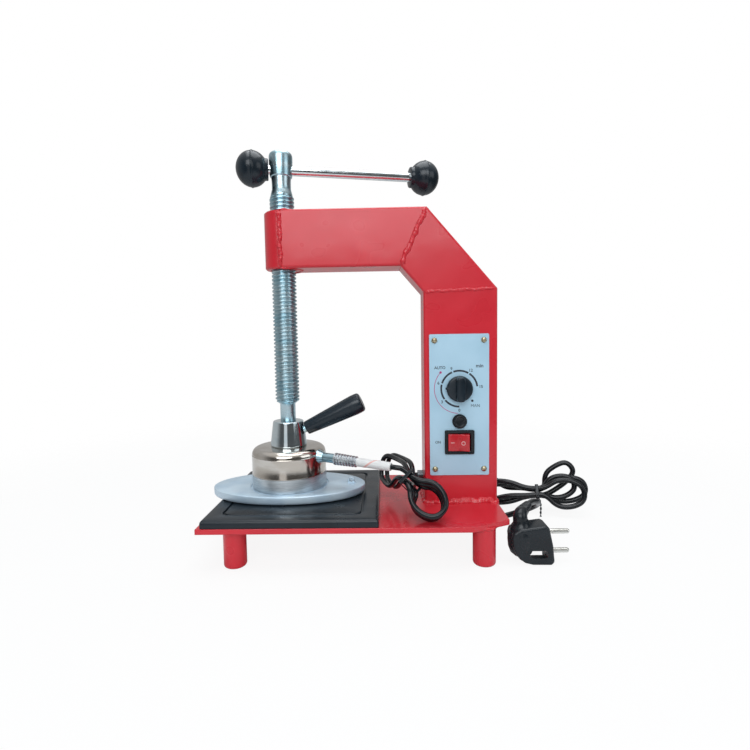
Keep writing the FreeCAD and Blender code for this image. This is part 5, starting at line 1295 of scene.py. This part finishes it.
# %% Knob
knob_turn = np.linspace(0, TURN, 121)
knob_rings = [(0, -21.8), (13.3, -21.8), (13.7, -22.2), (13.7, -25.4), (13.5, -26.3),
              (12.8, -27.0), (11.8, -27.3), (0, -27.5)]
knob_reach = np.array(knob_rings)[:, :1]
NOSE_DEGREES, NOSE_HEIGHT, NOSE_HALF = 92.0, 1.5, 0.13
nose_angle = -math.pi / 2 - math.radians(NOSE_DEGREES)
from_nose = np.abs((knob_turn - nose_angle + math.pi) % TURN - math.pi)
nose = NOSE_HEIGHT * np.clip(1 - from_nose / NOSE_HALF, 0, 1) * (knob_reach > 11)
flutes = 0.18 * np.abs(np.sin(knob_turn * 40)) * (knob_reach > 13.2)
skirt = turned(knob_rings, (PANEL_X, 0, DIAL_Z), 120, ABOUT_Y, nose - flutes)
bar_rows = [(0, -26.8), (0, -28.5), (0.35, -35.2), (0.7, -36.2), (1.3, -36.65), (2.2, -36.8)]
grip = layers([(soft_rectangle(9.4 - 2 * inset, 25.6 - 1.2 * inset, 3.4 - inset * 0.6, 9)
                + (PANEL_X, DIAL_Z), y) for inset, y in bar_rows])
timer_knob = skin("timer_knob_grip", [skirt, capped(grip)], coat["black_knob"], 45)
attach(timer_knob, "timer_knob")
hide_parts("timer_knob")

# %% Fuse cap
FUSE_Z = 131.2
SLOT_TURN = math.radians(25)
fuse_profile = np.array([
    (0, -20.6), (3.05, -20.6), (3.05, -14.6), (4.2, -14.6), (4.2, -23.6), (6.1, -23.6),
    (6.4, -23.9), (6.4, -26.0), (6.2, -26.7), (5.7, -27.1), (5.2, -27.2), (4.8, -27.05),
    (4.5, -26.7), (4.2, -26.6), (0, -26.6)])
fuse_reach, fuse_place = fuse_profile.T[..., None]
fluted = (np.abs(fuse_place + 25) < 1.2) & (fuse_reach > 6.2)
fuse_flutes = -0.012 * fuse_reach * (1 - np.cos(np.linspace(0, TURN, 97) * 24)) * fluted
fuse_cap = skin("fuse_cap_moulding", turned(fuse_profile, (PANEL_X, 0, FUSE_Z), 96, ABOUT_Y,
                                            fuse_flutes), coat["black_plastic"])
slot_ways = np.array([(math.cos(SLOT_TURN), math.sin(SLOT_TURN)),
                      (-math.sin(SLOT_TURN), math.cos(SLOT_TURN))])
slot = soft_rectangle(8.0, 1.2, 0.3, 4) @ slot_ways + (PANEL_X, FUSE_Z)
cut(fuse_cap, block("fuse_slot", slot, (-28.0, -25.6)))
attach(fuse_cap, "fuse_carrier")
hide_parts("fuse_cap")

# %% Rocker
ROCKER_Z = 108.9
BEZEL_FRONT = -23.2
PIVOT_Y = -18.2
TILT = math.radians(9.0)
SLOPE = math.tan(TILT)
CAP_MIDDLE = 2.2


def tilted(points):
    """Local (across, out of the bezel, up) millimetres turned with the rocker at rest."""
    x, y = points[..., 0], BEZEL_FRONT - points[..., 1] - PIVOT_Y
    return np.stack([PANEL_X + x * math.cos(TILT) + y * math.sin(TILT),
                     PIVOT_Y - x * math.sin(TILT) + y * math.cos(TILT),
                     ROCKER_Z + points[..., 2]], axis=-1)


def on_cap(mark):
    """Lays a flat (across, level, up) mark on the V: out = middle + across x slope + level."""
    across, level, up = np.moveaxis(mark, -1, 0)
    out = CAP_MIDDLE - 0.05 + np.abs(across) * SLOPE + 0.16 * level
    return tilted(np.stack([across, out, up], axis=-1))


corners = [(-1.0, -6.5), (11.0, -6.5), (11.1, CAP_MIDDLE + 11.1 * SLOPE),
           (-1.0, CAP_MIDDLE - SLOPE)]
half = cheeked(corners, 0.65, 8.9, 0.6)[..., [0, 2, 1]]
rocker = skin("rocker_cap", [tilted(half * (way, 1, 1)) for way in (-1, 1)],
              coat["red_rocker"])
ring_mark = turned([(1.6, 0), (2.0, 0), (2.0, 1), (1.6, 1), (1.6, 0)], (4.6, 0, -0.4), 48,
                   ABOUT_Y)
bar_section = [(0, -0.21), (0, 0.21), (1, 0.21), (1, -0.21), (0, -0.21)]
bar_mark = capped(np.stack([np.c_[np.full(5, x), bar_section] for x in (-8.4, -4.5)]))
rocker_marks = skin("rocker_marks", [on_cap(ring_mark), on_cap(bar_mark)], coat["pale_mark"])

# %% Bezel
bezel_rings = [(31.0, 25.3, -21.2), (31.0, 25.3, -23.1), (30.6, 24.9, -23.4),
               (24.6, 19.9, -23.45), (23.6, 18.9, -23.2), (22.9, 18.4, -22.6),
               (22.9, 18.4, -19.6), (31.0, 25.3, -21.2)]
bezel = skin("switch_bezel", layers([
    (soft_rectangle(wide, high, 1.0, 5) + (PANEL_X, ROCKER_Z), y)
    for wide, high, y in bezel_rings]), coat["black_plastic"])
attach(bezel, "frame")
for piece, slot_name in ((rocker, "red_rocker"), (rocker_marks, "white_sleeving")):
    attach(piece, "switch_rocker")
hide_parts("rocker")
